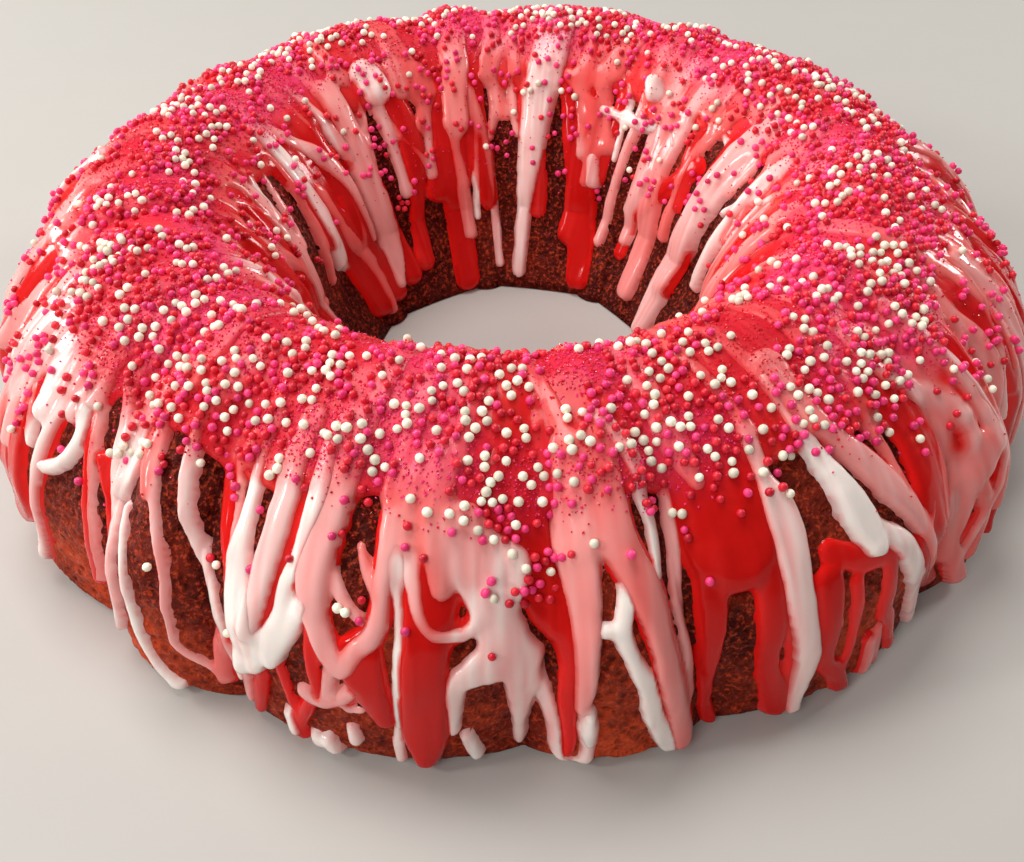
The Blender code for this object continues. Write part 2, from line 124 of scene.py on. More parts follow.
PINK_STREAMS = [
    (0.85, 1.2, [(-53, 64, 6), (-52.6, 52, 4), (-52.8, 40, 3.8), (-52.8, 30, 3.6), (-53.5, 18, 3.4),
                 (-55.5, 7, 3.8)]),
    (0.88, 1.3, [(-55, 68, 9), (-55.2, 56, 8), (-54.5, 46, 6)]),
    (0.80, 1.2, [(-50, 66, 8), (-49.6, 57, 6), (-50.5, 50, 4.5)]),
    (0.78, 1.3, [(-62, 68, 9), (-63, 54, 8), (-62, 43, 6)]),
    (0.82, 1.2, [(-68, 70, 9), (-67.5, 58, 8), (-66, 46, 6)]),
    (0.72, 1.2, [(-57.5, 64, 8), (-59, 50, 6.5), (-60.5, 40, 5), (-60, 32, 4)]),
    (0.60, 1.0, [(-53.8, 68, 4), (-53, 59, 4), (-51.8, 52, 3.5)]),
    (0.84, 1.2, [(-45.5, 62, 4.5), (-43.6, 54, 4.4), (-42.6, 46, 4.2), (-41.4, 38, 4.4), (-40.4, 28, 4),
                 (-40.4, 18, 3.6),
                 (-41.4, 8, 3)]),
    (0.70, 1.0, [(-48.8, 58, 2.4), (-47.6, 53, 2.2), (-45.8, 43, 2), (-45, 36, 2), (-44.4, 27, 2),
                 (-45.6, 13, 2)]),
    (0.50, 0.8, [(-41.2, 64, 6), (-39.5, 57, 6), (-38, 52, 5), (-36.6, 47, 3)]),
    (0.68, 1.0, [(-31.2, 70, 2), (-30.5, 66, 2), (-28.9, 60, 2), (-27.4, 52, 2), (-26.6, 42, 1.8)]),
    (0.72, 1.0, [(-62, 52, 4), (-60.4, 42, 3), (-59, 35, 2.6), (-58.2, 28, 2.2)]),
    (0.72, 1.0, [(-38.5, 60, 3), (-36.2, 49, 2), (-33.2, 35, 1.7), (-32.6, 25, 1.6), (-32.4, 16, 1.6),
                 (-30.5, 12, 1.6),
                 (-28, 7.5, 1.8)]),
    (0.75, 1.2, [(-91, 84, 6), (-92, 66, 6.5), (-88.8, 57, 6), (-84, 45, 5)]),
    (0.72, 1.2, [(-77.5, 88, 5.5), (-77.5, 72, 6), (-74.8, 60, 5.5), (-71.5, 48, 4.5), (-70, 34, 3.5)]),
    (0.62, 1.0, [(62, 62, 4), (60, 46, 3.6), (57, 33, 3.6), (53, 22, 3.2), (50, 11, 3)]),
    (0.50, 0.9, [(48.2, 52, 3.5), (45.2, 46, 3.5), (43.5, 40, 3), (41.8, 33, 2.5)]),
    (0.55, 0.8, [(53.8, 46, 2.5), (49.8, 40, 2.4), (46.2, 36, 2), (43, 26, 2)]),
    (0.65, 0.7, [(38.8, 62, 1.8), (43.5, 54, 1.8), (48.5, 42, 1.6), (53.8, 30, 1.5)]),
    (0.65, 0.7, [(42.8, 62, 1.6), (49.2, 52, 1.8), (56.5, 42, 1.8)]),
    (0.70, 1.0, [(45.2, 71, 3), (49.5, 60, 3), (52.2, 50, 2.8), (53.5, 41, 2.6)]),
    (0.60, 1.1, [(73.5, 80, 4), (71.8, 68, 4), (71.8, 57, 3.5), (72, 44, 3)]),
    (0.50, 0.9, [(-28, 20, 4), (-28.3, 12, 4), (-28.5, 7, 3)]),
    (0.75, 1.0, [(-25.2, 20, 5), (-26, 10, 3), (-26.2, 3, 2.2)]),
    (0.82, 1.1, [(-22, 62, 6), (-22.2, 50, 6), (-22.8, 38, 5.5), (-23.4, 30, 5)]),
    (0.74, 1.1, [(-17, 62, 8), (-17.6, 50, 8), (-17.5, 40, 6), (-16, 32, 5), (-14.6, 28, 4.5),
                 (-13.2, 32, 4.2),
                 (-11.6, 36, 4), (-11.3, 44, 3.6), (-11, 56, 5)]),
    (0.70, 0.8, [(-15.8, 44, 2.2), (-14.6, 40, 2.2), (-13.3, 37.5, 2)]),
    (0.60, 0.8, [(-13.8, 50, 1.6), (-12.8, 45, 1.8), (-11.8, 42, 1.8)]),
    (0.75, 0.9, [(-15.6, 27, 2.2), (-16.2, 20, 2.6), (-16.8, 16, 2.6), (-18.4, 18, 3.4)]),
    (0.75, 0.9, [(-16.4, 17, 3), (-14.8, 19.4, 3), (-13.8, 22.6, 2.6)]),
    (0.84, 1.1, [(-1, 48, 11), (-1.5, 40, 8), (-1, 32, 10), (-2.5, 29, 8), (-4.8, 26, 4.5), (-5.3, 18, 2.8),
                 (-5.4, 12, 2)]),
    (0.84, 1.0, [(0.6, 30, 8), (0.4, 20, 5.5), (0.3, 11, 3.4), (0.2, 4.5, 2.2)]),
    (0.84, 1.0, [(0.5, 30, 4), (1.8, 22, 4.5), (2.6, 17, 3), (3.2, 10, 2.4), (3.4, 4, 2.4), (4.4, 0.8, 2.6),
                 (5.6, 1.6, 2.4), (6.2, 6, 2.6), (6, 12, 3.6), (6.1, 18, 2)]),
    (0.84, 1.2, [(-9, 49, 3.6), (-8.2, 41, 3.6), (-6.8, 36.5, 3.2), (-4.5, 36, 3), (-3.2, 38, 3)]),
    (0.84, 1.2, [(-5, 49, 4), (-4, 44, 3.4), (-2.8, 39.5, 3.4)]),
    (0.60, 1.1, [(-7.5, 58, 8), (-6.8, 50, 5), (-6.2, 44, 4.2)]),
    (0.60, 1.0, [(-9.5, 52, 6), (-10.2, 62, 6)]),
    (0.72, 1.0, [(-3.5, 50, 12), (-5, 55, 10)]),
    (0.64, 1.3, [(5.6, 60, 7), (5.4, 52, 8), (5.9, 40, 6), (5.8, 30, 4.5), (5.6, 22, 3.6), (5.3, 18, 2)]),
    (0.56, 1.2, [(8.5, 60, 8), (9.6, 50, 7), (11.3, 42, 7), (12.3, 32, 5.5), (13.4, 20, 5.5),
                 (14.4, 10, 5.5),
                 (14.8, 3, 5)]),
    (0.60, 1.0, [(4.8, 50, 4), (7, 52.5, 5), (9.2, 50, 4)]),
    (0.70, 0.8, [(15.2, 60, 2.5), (14.8, 45, 2.6), (14.6, 36, 2.4), (15.2, 25, 2.2), (15.6, 14, 2.2)]),
    (0.84, 1.3, [(24.5, 56, 4), (25, 50, 7), (25, 42, 7), (25.2, 30, 6), (26, 18, 5.5), (25.8, 8, 4),
                 (25.6, 0.8, 3.5)]),
    (0.70, 0.8, [(28.8, 33, 2.2), (29, 24, 2.2)]),
    (0.70, 0.8, [(34, 12, 3), (34.2, 6, 3), (34, 0.8, 3)]),
    (0.40, 0.8, [(35, 14, 2.5), (35.4, 8, 2.4), (35.6, 2, 2)]),
    (0.70, 1.1, [(31.5, 66, 8), (33.5, 58, 5), (36.5, 48, 6.5), (38.8, 40, 5.5), (40.2, 34, 4.5),
                 (42, 24, 3.5),
                 (44.8, 11.5, 2.6)]),
    (0.50, 0.8, [(38.3, 60, 3), (39.2, 50, 2.5), (39.6, 40, 2.5)]),
    (0.55, 1.0, [(47.5, 30, 6), (47.2, 22, 4), (48.8, 12, 4.5), (50.5, 2, 5)]),
    (0.55, 1.0, [(52, 35, 10), (50, 32, 8)]),
    (0.60, 0.5, [(40.5, 32, 2), (44, 42, 2.5), (48, 50, 3), (53, 56, 4)]),
    (0.60, 0.5, [(42, 40, 2), (46, 40, 2.5), (50, 42, 3), (55, 46, 4)]),
    (0.60, 0.5, [(40, 56, 2), (44, 52, 2.5), (50, 48, 3), (56, 44, 3)]),
    (0.70, 0.9, [(52, 62, 6), (53, 54, 6), (54, 45, 5), (55, 35, 7)]),
    (0.78, 1.3, [(43.5, 66, 4), (46.5, 58, 6), (49, 52, 6.5), (51, 45, 5), (50.5, 38, 4)]),
    (0.62, 0.7, [(47.8, 62, 5), (50, 54, 6), (48.5, 45, 7.5), (46, 38, 7), (44.5, 30, 5)]),
    (0.62, 0.9, [(56.8, 70, 4.5), (61, 60, 5.5), (63.2, 51, 5), (63.5, 40, 5), (61, 30, 4), (57, 16, 4)]),
    (0.72, 0.9, [(51.5, 78, 2.6), (54, 70, 2.6), (57.2, 62, 2.8), (59.2, 53, 2.8), (59.8, 44, 2.6),
                 (57, 34, 2.4)]),
    (0.55, 0.8, [(66, 74, 6), (67, 62, 6), (68, 50, 5), (67, 36, 4)]),
    (0.45, 0.6, [(51, 29, 4), (53, 18, 4), (52, 8, 4)]),
    (0.62, 0.6, [(48, 50, 6), (49, 42, 6.5), (49, 32, 6.5), (48.5, 22, 6), (48, 12, 4)]),
]
WHITE_STREAMS = [
    (0.88, 1.1, [(-34.3, 68, 3), (-33.9, 60, 3), (-33.2, 52, 2.8), (-32, 45, 2.6), (-30, 38, 2.6),
                 (-28.2, 29, 2.6),
                 (-27.4, 18, 2.6), (-26.8, 9, 2.2)]),
    (0.92, 1.1, [(-39.6, 41, 2.2), (-38.2, 35, 2.2), (-37, 24, 2.2), (-36.6, 14, 2.4), (-35.2, 7, 2.6),
                 (-33.2, 2.5, 3)]),
    (0.92, 1.1, [(-60, 58, 3.4), (-58.4, 50, 2.8), (-56.6, 44, 2.6), (-55.5, 37, 2.2)]),
    (0.92, 1.2, [(-51.2, 60, 3.4), (-48.8, 50, 3.4), (-48.8, 44, 3.2), (-50, 39, 3), (-51.5, 36.5, 3)]),
    (0.85, 1.1, [(-74, 67, 3), (-69.8, 56, 3), (-66.2, 46, 3), (-64, 36, 2.6), (-63.5, 24, 2.4)]),
    (0.88, 1.1, [(-62.2, 70, 3), (-60.5, 58, 3.2), (-59.8, 49, 3.2), (-58.5, 42, 3)]),
    (0.80, 1.0, [(68.5, 75, 3), (68.8, 60, 3), (66.5, 49, 2.8), (64.8, 38, 2.4), (64, 26, 2)]),
    (0.85, 1.1, [(52.2, 73, 3), (53.5, 58, 3), (54.8, 45, 2.8), (55.5, 36, 2.4)]),
    (0.85, 1.2, [(89.2, 75, 4), (90, 60, 4), (86, 50, 3.6), (83, 38, 3)]),
    (0.90, 0.9, [(67, 70, 1.8), (66.8, 58, 1.8), (66, 48, 1.6)]),
    (0.90, 1.2, [(-26, 62, 3), (-25.8, 50, 4), (-25.6, 42, 5.5), (-24.6, 32, 8), (-24.2, 24, 8),
                 (-24.8, 19, 6)]),
    (0.95, 1.1, [(-18.6, 58, 5), (-19.2, 48, 3.5), (-20.2, 40, 3), (-20.4, 34, 4), (-22, 27, 5),
                 (-23.6, 21, 6)]),
    (0.95, 1.0, [(-18.2, 38, 4), (-19.6, 32, 4), (-21.5, 25, 5)]),
    (0.85, 1.1, [(-41.5, 56, 7), (-41.2, 48, 6), (-41.5, 42, 4)]),
    (0.85, 1.0, [(-46.5, 62, 3), (-44.3, 58, 3), (-43, 52, 3)]),
    (0.92, 0.8, [(-9.9, 58, 3), (-10.3, 48, 4), (-9.8, 40, 2), (-9.7, 30, 2.2), (-10, 20, 1.6),
                 (-10.3, 12, 1.2),
                 (-10.4, 7, 2.4), (-10.2, 1.5, 1.8)]),
    (0.95, 1.0, [(-20.7, 7.8, 3.0), (-20.3, 4.4, 3.4)]),
    (0.95, 0.9, [(-17.8, 1.6, 3.0), (-18.1, 4.2, 2.8)]),
    (0.95, 1.1, [(9.4, 40, 2.4), (8.9, 35, 3), (9.6, 30, 3), (10.8, 24, 3.4), (11.6, 15, 4), (12.6, 8, 4),
                 (13.6, 1.5, 3)]),
    (0.95, 1.0, [(9.3, 49, 1.8), (9.3, 42, 2.2), (8.6, 36, 2.6), (7.5, 36, 3)]),
    (0.92, 1.2, [(6.2, 8, 2.2), (6.1, 12, 3.4), (6.1, 17, 2.2)]),
    (0.90, 1.1, [(-16.9, 4.2, 2.8), (-16.2, 1.4, 3.2)]),
    (0.88, 1.0, [(-14.3, 10.2, 2.6), (-14.1, 7.4, 3.0)]),
    (0.80, 1.0, [(-15.3, 20, 1.6), (-14.4, 16.5, 2), (-13.2, 17, 1.6)]),
    (0.90, 1.1, [(-4.4, 9.4, 2.6), (-4, 5.4, 3.2), (-3.6, 3.2, 2.8)]),
    (0.90, 1.2, [(9, 74, 4), (11, 70, 4.5), (12.3, 64, 4), (12.4, 58, 2.6), (12.9, 52, 2.5),
                 (12.6, 44, 2.2)]),
    (0.97, 1.5, [(29.6, 64, 2.6), (31, 56, 4), (32.2, 48, 6.4), (32.8, 42, 7.4), (33.4, 37.5, 6.4)]),
    (0.85, 1.1, [(34.5, 38.5, 4), (37, 33, 5.5), (38.8, 26, 5.5), (40.4, 18, 5), (41.6, 8, 4.5),
                 (43, 0.8, 4)]),
    (0.95, 1.0, [(50.5, 62, 3), (52.5, 58, 3), (53.5, 54, 2.5)]),
]

# Streams that show on the far wall of the hole
HOLE_RED = [
    (0.00, 1.0, [(163, 104, 8), (157, 130, 8), (151, 160, 7)]),
    (0.00, 1.1, [(195, 98, 8), (196, 125, 8), (197.5, 161, 7)]),
    (0.00, 1.0, [(236, 100, 8), (233, 130, 7), (229, 157, 6)]),
    (0.00, 1.1, [(143.5, 97, 10), (138.5, 106, 10)]),
    (0.00, 1.0, [(119.8, 116, 5), (127, 126, 5), (134, 136, 4)]),
    (0.00, 1.0, [(244, 106, 5), (241.5, 125, 5), (237.5, 143, 5), (239, 156, 4)]),
]
HOLE_PINK = [
    (0.60, 1.0, [(140, 98, 9), (132, 122, 8), (128, 157, 6)]),
    (0.55, 1.4, [(191.5, 92, 8.5), (193, 106, 8.5), (194.2, 116, 8)]),
    (0.72, 0.9, [(215.5, 105, 2.8), (211, 116, 2.6), (205.5, 125, 2.8), (203.8, 129, 3)]),
    (0.72, 0.9, [(201, 108, 2.6), (203.6, 128, 2.8)]),
    (0.60, 0.9, [(184.5, 98, 3.2), (183.2, 112, 2.6), (184.8, 121, 2)]),
    (0.70, 0.9, [(179, 102, 2.4), (177, 120, 2)]),
    (0.30, 1.1, [(164.2, 103, 4.5), (157.2, 111, 4.8), (153.5, 119, 4.8), (154.2, 131, 4.4)]),
    (0.80, 1.2, [(129, 97, 6), (130.2, 106, 6), (131, 118, 6), (135.5, 128, 5.4), (138, 136, 3.5)]),
    (0.78, 1.2, [(108, 98, 9), (110.2, 120, 9), (113.2, 138, 8.5), (113.2, 151, 7.5), (112, 162, 5.5)]),
    (0.72, 1.1, [(224, 98, 7), (224.5, 113, 7.5), (225, 126, 7.5), (223.5, 142, 6.5), (227, 155, 4.5)]),
    (0.60, 0.9, [(281, 96, 3), (279.2, 109, 3.5), (275.2, 119, 4), (268, 131, 3.5), (264, 143, 3)]),
    (0.45, 1.0, [(243, 120, 4), (240, 135, 4.4), (235, 147, 4.2), (235.8, 160, 3.4)]),
]
HOLE_WHITE = [
    (0.85, 1.4, [(169, 88, 12), (169.5, 100, 11), (171, 110, 9.6), (172.5, 124, 7.6), (174.2, 141, 4.6),
                 (176, 160, 3.4)]),
    (0.82, 0.9, [(189, 108, 3.4), (186, 124, 2.8), (184.5, 141, 2.2), (183.5, 158, 2)]),
    (0.82, 1.2, [(153.2, 125, 4.2), (151.8, 131, 4.5)]),
    (0.92, 1.1, [(153.2, 111, 3.4), (144, 112.5, 3.6), (137.8, 112, 3.6)]),
    (0.88, 1.8, [(142.2, 101.5, 5.3), (140.8, 104, 5.5)]),
    (0.80, 1.0, [(247, 94, 4), (242.2, 104, 4.5), (236.2, 114, 5), (231.8, 126, 5), (229.2, 140, 3.5)]),
    (0.80, 1.0, [(233, 94, 4), (230.5, 103, 4), (228.5, 112, 4), (225.2, 123, 3.2)]),
    (0.88, 1.6, [(214.2, 98, 9), (213.2, 103, 9)]),
]

# Streams of the other sides follow a rule: one at every step, with drawn feet, leans and widths
RULE_LEAN = 0.35
RULE_MIDDLE_LEAN = 0.4
RULE_MIDDLE_WIDTH = 0.9
RULE_FOOT_WIDTH = 0.7
RULE_THICKNESS = (0.9, 1.25)
RULE_STRIDE = (0.8, 1.2)
RULE_COLOURS = ["red", "pink", "white", "pink"]
RULE_STREAMS = [
    {"first": 58.0, "last": 299.0, "step": 9.0, "top": 64, "foot": (3, 34), "width": (3.5, 8.5)},
    {"first": 248.0, "last": 480.0, "step": 16.0, "top": 98, "foot": (136, 160), "width": (4.0, 7.0)},
]
SOLID_SEED = 7
RULE_TINTS = {"red": (0.0, 0.08), "pink": (0.45, 0.78), "white": (0.85, 0.97)}

# Thinner streams between them: colour, azimuths, step, top, foot, width, tint and thickness factor
FINE_RULES = [
    ("red", (60, 300), 6.5, (62, 68), (2, 34), (5, 10), (0.0, 0.1), (0.8, 1.0)),
    ("pink", (58, 302), 6.0, (60, 70), (4, 44), (2.5, 6.5), (0.4, 0.78), (0.8, 1.1)),
    ("white", (60, 300), 8.0, (60, 68), (8, 46), (1.8, 4.0), (0.85, 0.98), (0.8, 1.1)),
    ("red", (-60, 300), 13.0, (92, 98), (124, 158), (5, 9), (0.0, 0.1), (0.8, 1.0)),
    ("pink", (-60, 300), 9.0, (90, 100), (112, 150), (2.5, 6), (0.4, 0.75), (0.8, 1.0)),
    ("white", (-60, 300), 17.0, (92, 100), (110, 145), (1.8, 3.5), (0.85, 0.95), (0.8, 1.0)),
    ("pink", (-60, 300), 7.0, (92, 108), (58, 68), (3.5, 8), (0.2, 0.65), (0.7, 1.0)),
    ("white", (-60, 300), 15.0, (86, 100), (62, 74), (2, 4), (0.82, 0.95), (0.7, 1.0)),
]
FINE_LEAN = 0.5
FINE_BEND = 0.4
FINE_STRIDE = (0.75, 1.25)
FINE_UPPER = 0.35
FINE_LOWER = 0.7
FINE_UPPER_WIDTH = (0.7, 1.1)
FINE_LOWER_WIDTH = (0.6, 1.0)
FINE_FOOT_WIDTH = (0.55, 0.9)
CROWN_BANDS = [(64, 12), (73, 13), (82, 13), (91, 13), (100, 12)]
CROWN_BAND_STEP = 6.0
CROWN_WANDER = 2.0
FINE_SEED = 11

# Front streams are rooted higher up, and thin red runs out from under the pink ones
ROOT_FROM = 56
ROOT_TO = 72
ROOT_RISE = 9
FRINGE_WIDTH = 0.7
FRINGE_DRIFT = 0.35
FRINGE_FROM = 2.6
FRINGE_THICKNESS = 0.45
FRINGE_SEED = 17

# Below its outline an icing's sheet dips into what it lies on
SKIRT_SLOPE = 1.8
SKIRT_END = 1.7
SKIRT_KEPT = 1.5

# Mesh points this near an icing's outline, in shares of a mesh step, are moved onto it
SNAP = 0.45
SLOPE_SPAN = 0.25
SNAP_SLOPES = (0.3, 4.0)

# Rows and columns of the icing's meshes, close on the outside
ICING_OUTSIDE_TO = 0.062
ICING_OUTSIDE_STEP = 0.00072
ICING_CROWN_TO = 0.092
ICING_CROWN_ROWS = 28
ICING_HOLE_ROWS = 84
ICING_COLUMNS = {"red": 920, "pink": 1140, "white": 1500}

# Icing fills the creases between flutes: azimuths averaged, and mm over which the fill sets in
CREASE_SPAN = (-1.6, -0.8, 0.0, 0.8, 1.6)
CREASE_FADE = 1.5

# Sprinkles that lie low on the front, as (azimuth, length)
WHITE_PLACES = [
    (-42.2, 62.5), (-38, 73), (-37, 67.5), (-35.8, 74.5), (-35.5, 77.5), (-34.2, 34), (-34.2, 76),
    (-33.2, 73.5), (-32.5, 77.5), (-32, 71.5), (-28.5, 81.5), (-28.2, 38.5), (-28.2, 67), (-28, 70.5),
    (-27.5, 83.5), (-26.8, 68), (-26.5, 24), (-26.2, 71.5), (-24.8, 68.5), (-24.2, 58.5), (-23.5, 60),
    (-23.5, 61.5), (-23, 76), (-23, 80), (-22.2, 68.5), (-22, 79), (-20.5, 64), (-19.8, 68), (-19.5, 68),
    (-15.8, 70.5), (-15, 39), (-15, 39), (-13, 64.5), (-12.2, 71), (-11.8, 75.5), (-11.2, 72), (-10.2, 75),
    (-9.5, 59), (-9.2, 66), (-8, 71.5), (-7.8, 57), (-5.8, 57), (-5, 73.5), (-5, 75), (-4.5, 56),
    (-4.5, 58.5), (-4.5, 66.5), (-4.5, 70.5), (-4.5, 72), (-3.2, 54.5), (-3, 59.5), (-2.8, 60.5),
    (-2.8, 65.5), (-2.8, 67.5), (-2, 60), (-2, 62.5), (-2, 63.5), (-1.8, 43), (-1.8, 53), (-1, 60),
    (0.2, 55.5), (0.5, 59.5), (1, 48), (1, 64), (1.5, 71), (1.5, 72.5), (1.8, 62.5), (2.8, 59.5), (3.2, 47),
    (4.2, 68.5), (5.8, 62), (6, 67.5), (6, 69), (6.2, 74.5), (7, 51.5), (7.8, 74.5), (10.8, 67), (11, 74.5),
    (14.8, 73), (15.2, 54.5), (15.5, 54.5), (16, 78), (18, 79), (19, 68.5), (19, 69), (19.5, 80.5),
    (21.5, 58.5), (21.8, 60.5), (23.5, 74.5), (23.8, 61.5), (24.2, 57), (24.8, 75.5), (25.5, 74),
    (25.5, 77), (26, 52), (26.2, 64), (27.2, 58.5), (28.2, 67), (34.2, 66), (34.8, 64), (37.8, 71),
    (38.8, 62.5), (40, 56.5), (40.8, 64), (40.8, 65.5), (42, 64.5), (43, 57.5), (43, 60.5), (45, 59.5),
    (45.8, 63.5), (49.8, 59.5),
]
COLOURED_PLACES = [
    (-36.5, 54), (-36, 51.5), (-35.8, 53), (-29.5, 57.5), (-29.2, 39), (-29, 56), (-28.8, 64.5),
    (-28, 54.5), (-28, 60), (-27.8, 52.5), (-26.2, 65), (-25.8, 66.5), (-25.2, 70), (-24.5, 52),
    (-24.2, 64.5), (-24, 41), (-23.5, 67), (-21, 59), (-20.2, 58), (-16.2, 51), (-15.8, 51), (-13, 37.5),
    (-13, 41), (-9.5, 51), (-9.5, 54.5), (-9, 37), (-7.8, 49.5), (-5.5, 54), (-4, 62.5), (-3.2, 57.5),
    (-3.2, 63.5), (-2.8, 53.5), (-2.8, 57), (-2.5, 44), (-2.5, 55), (-2.2, 58.5), (-2, 32.5), (-2, 46),
    (-1.5, 55), (-1.5, 58), (-1.2, 53.5), (-1.2, 56), (-0.5, 42), (-0.5, 54.5), (-0.5, 59), (-0.2, 57),
    (0, 44), (0, 54.5), (0.8, 41.5), (0.8, 44), (1.2, 46), (1.5, 44), (2, 42.5), (2, 48), (2, 49.5),
    (2.2, 45), (2.8, 47), (2.8, 50), (3, 42), (3.2, 50), (3.5, 44), (4.2, 49.5), (5, 50), (6.5, 64.5),
    (7, 60.5), (7, 66), (7.2, 65), (7.5, 62), (8, 63.5), (8.8, 60), (9, 63), (10, 49), (12.5, 57),
    (12.8, 55.5), (12.8, 55.5), (12.8, 57), (16, 49.5), (16, 50), (18.8, 64.5), (19.2, 66.5), (21, 51.5),
    (22.2, 54.5), (23, 57), (23.8, 70), (24, 53.5), (24.8, 67.5), (25.2, 58.5), (25.2, 70.5), (25.5, 53.5),
    (26.2, 56), (26.5, 61.5), (27, 68), (27.5, 63.5), (27.8, 61.5), (29.2, 61),
]

# Sprinkles that the solid also has
SPRINKLE_COUNT = 56
SPRINKLE_FIRST = 0.050
SPRINKLE_LAST = 0.112
SPRINKLE_DRIFT = 2.0
GOLDEN_TURN = 137.508
NUDGES = 24
NUDGE = 0.45


class SpongeSettings(bpy.types.PropertyGroup):
    """Sizes and colours of the sponge."""

    columns: bpy.props.IntProperty(
        name="Columns", description="Mesh columns round the ring", default=840, min=100)
    pits: bpy.props.IntProperty(
        name="Pits", description="Open crumb pits in the sponge", default=14000, min=0)
    pit_depth: bpy.props.FloatProperty(
        name="Pit depth", description="Depth of the deepest pits", default=0.0008, unit="LENGTH")
    crumb: bpy.props.FloatProperty(
        name="Crumb", description="Height of the crumb's grain", default=0.00036, unit="LENGTH")
    # Ends of the sponge's ramp, which also paints light on the crests and at the foot and shade in the hole
    light: bpy.props.FloatVectorProperty(
        name="Light crumb", description="Colour of the light crumb", subtype="COLOR", size=3,
        default=(0.56, 0.064, 0.020))
    dark: bpy.props.FloatVectorProperty(
        name="Dark crust", description="Colour of the dark, moist crust", subtype="COLOR", size=3,
        default=(0.060, 0.0042, 0.0026))


class IcingSettings(bpy.types.PropertyGroup):
    """Sizes and colours of the icing."""

    thickness: bpy.props.FloatProperty(
        name="Thickness", description="Thickness of a full stream", default=0.0017, unit="LENGTH")
    edge: bpy.props.FloatProperty(
        name="Edge", description="Width of a stream's rounded edge", default=0.0014, unit="LENGTH")
    merge: bpy.props.FloatProperty(
        name="Merge", description="How far neighbouring streams flow together", default=0.00055,
        unit="LENGTH")
    red: bpy.props.FloatVectorProperty(
        name="Red", description="Colour of the red icing", subtype="COLOR", size=3,
        default=(0.76, 0.010, 0.008))
    salmon: bpy.props.FloatVectorProperty(
        name="Salmon", description="Colour halfway from red to white", subtype="COLOR", size=3,
        default=(0.80, 0.17, 0.155))
    pink: bpy.props.FloatVectorProperty(
        name="Pink", description="Colour of the pale pink icing", subtype="COLOR", size=3,
        default=(0.86, 0.43, 0.41))
    white: bpy.props.FloatVectorProperty(
        name="White", description="Colour of the white icing", subtype="COLOR", size=3,
        default=(0.90, 0.81, 0.76))
    roughness: bpy.props.FloatProperty(
        name="Roughness", description="Roughness of the wet gloss", default=0.14, min=0.0, max=1.0)


class SprinkleSettings(bpy.types.PropertyGroup):
    """Numbers, sizes and colours of the sprinkles and the sugar."""

    white_count: bpy.props.IntProperty(
        name="White", description="Number of white sprinkles", default=900, min=0)
    red_count: bpy.props.IntProperty(
        name="Red", description="Number of red sprinkles", default=1500, min=0)
    pink_count: bpy.props.IntProperty(
        name="Pink", description="Number of pink sprinkles", default=1500, min=0)
    sugar_count: bpy.props.IntProperty(
        name="Sugar", description="Number of sugar grains of each colour", default=14000, min=0)
    large: bpy.props.FloatProperty(
        name="White radius", description="Radius of a white sprinkle", default=0.00094, unit="LENGTH")
    small: bpy.props.FloatProperty(
        name="Coloured radius", description="Radius of a red or pink sprinkle", default=0.00086,
        unit="LENGTH")
    grain: bpy.props.FloatProperty(
        name="Grain radius", description="Radius of a sugar grain", default=0.00026, unit="LENGTH")
    white: bpy.props.FloatVectorProperty(
        name="White", description="Colour of the white sprinkles", subtype="COLOR", size=3,
        default=(0.86, 0.79, 0.64))
    red: bpy.props.FloatVectorProperty(
        name="Red", description="Colour of the red sprinkles", subtype="COLOR", size=3,
        default=(0.66, 0.010, 0.030))
    pink: bpy.props.FloatVectorProperty(
        name="Pink", description="Colour of the pink sprinkles", subtype="COLOR", size=3,
        default=(0.86, 0.036, 0.180))


class StageSettings(bpy.types.PropertyGroup):
    """Floor, lights and camera."""

    floor: bpy.props.FloatVectorProperty(
        name="Floor", description="Colour of the floor", subtype="COLOR", size=3, default=(0.46, 0.445, 0.42))
    key: bpy.props.FloatProperty(
        name="Key light", description="Power of the large light overhead", default=12.0, unit="POWER")
    rim: bpy.props.FloatProperty(
        name="Rim light", description="Power of the small lights at the back", default=5.5, unit="POWER")
    fill: bpy.props.FloatProperty(
        name="Fill light", description="Power of the weak light in front", default=7.4, unit="POWER")
    sky: bpy.props.FloatProperty(
        name="Sky", description="Strength of the even light all round", default=0.07, min=0.0)


def mean_section():
    """Radius, height and running length of the section without its flutes, evenly spaced in length."""
    turn = np.linspace(0.0, math.pi / 2, ROUND_SAMPLES)
    outer_r = CROWN_RADIUS + (WALL_RADIUS - CROWN_RADIUS) * np.cos(turn) ** (2 / OUTER_ROUND)
    outer_z = WALL_TOP + (HEIGHT - WALL_TOP) * np.sin(turn) ** (2 / OUTER_ROUND)
    back = turn[::-1]
    inner_r = CROWN_RADIUS - (CROWN_RADIUS - HOLE_RADIUS) * np.cos(back) ** (2 / INNER_ROUND)
    inner_z = HOLE_TOP + (HEIGHT - HOLE_TOP) * np.sin(back) ** (2 / INNER_ROUND)
    foot_r = [FOOT_RADIUS - FOOT_ROUNDING, FOOT_RADIUS]
    foot_z = [0.0, FOOT_ROUNDING]
    radius = np.concatenate([foot_r, outer_r, inner_r[1:], [HOLE_FOOT_RADIUS]])
    height = np.concatenate([foot_z, outer_z, inner_z[1:], [0.0]])
    length = np.concatenate([[0.0], np.cumsum(np.hypot(np.diff(radius), np.diff(height)))])
    even = np.linspace(0.0, length[-1], 4 * ROUND_SAMPLES)
    return np.interp(even, length, radius), np.interp(even, length, height), even


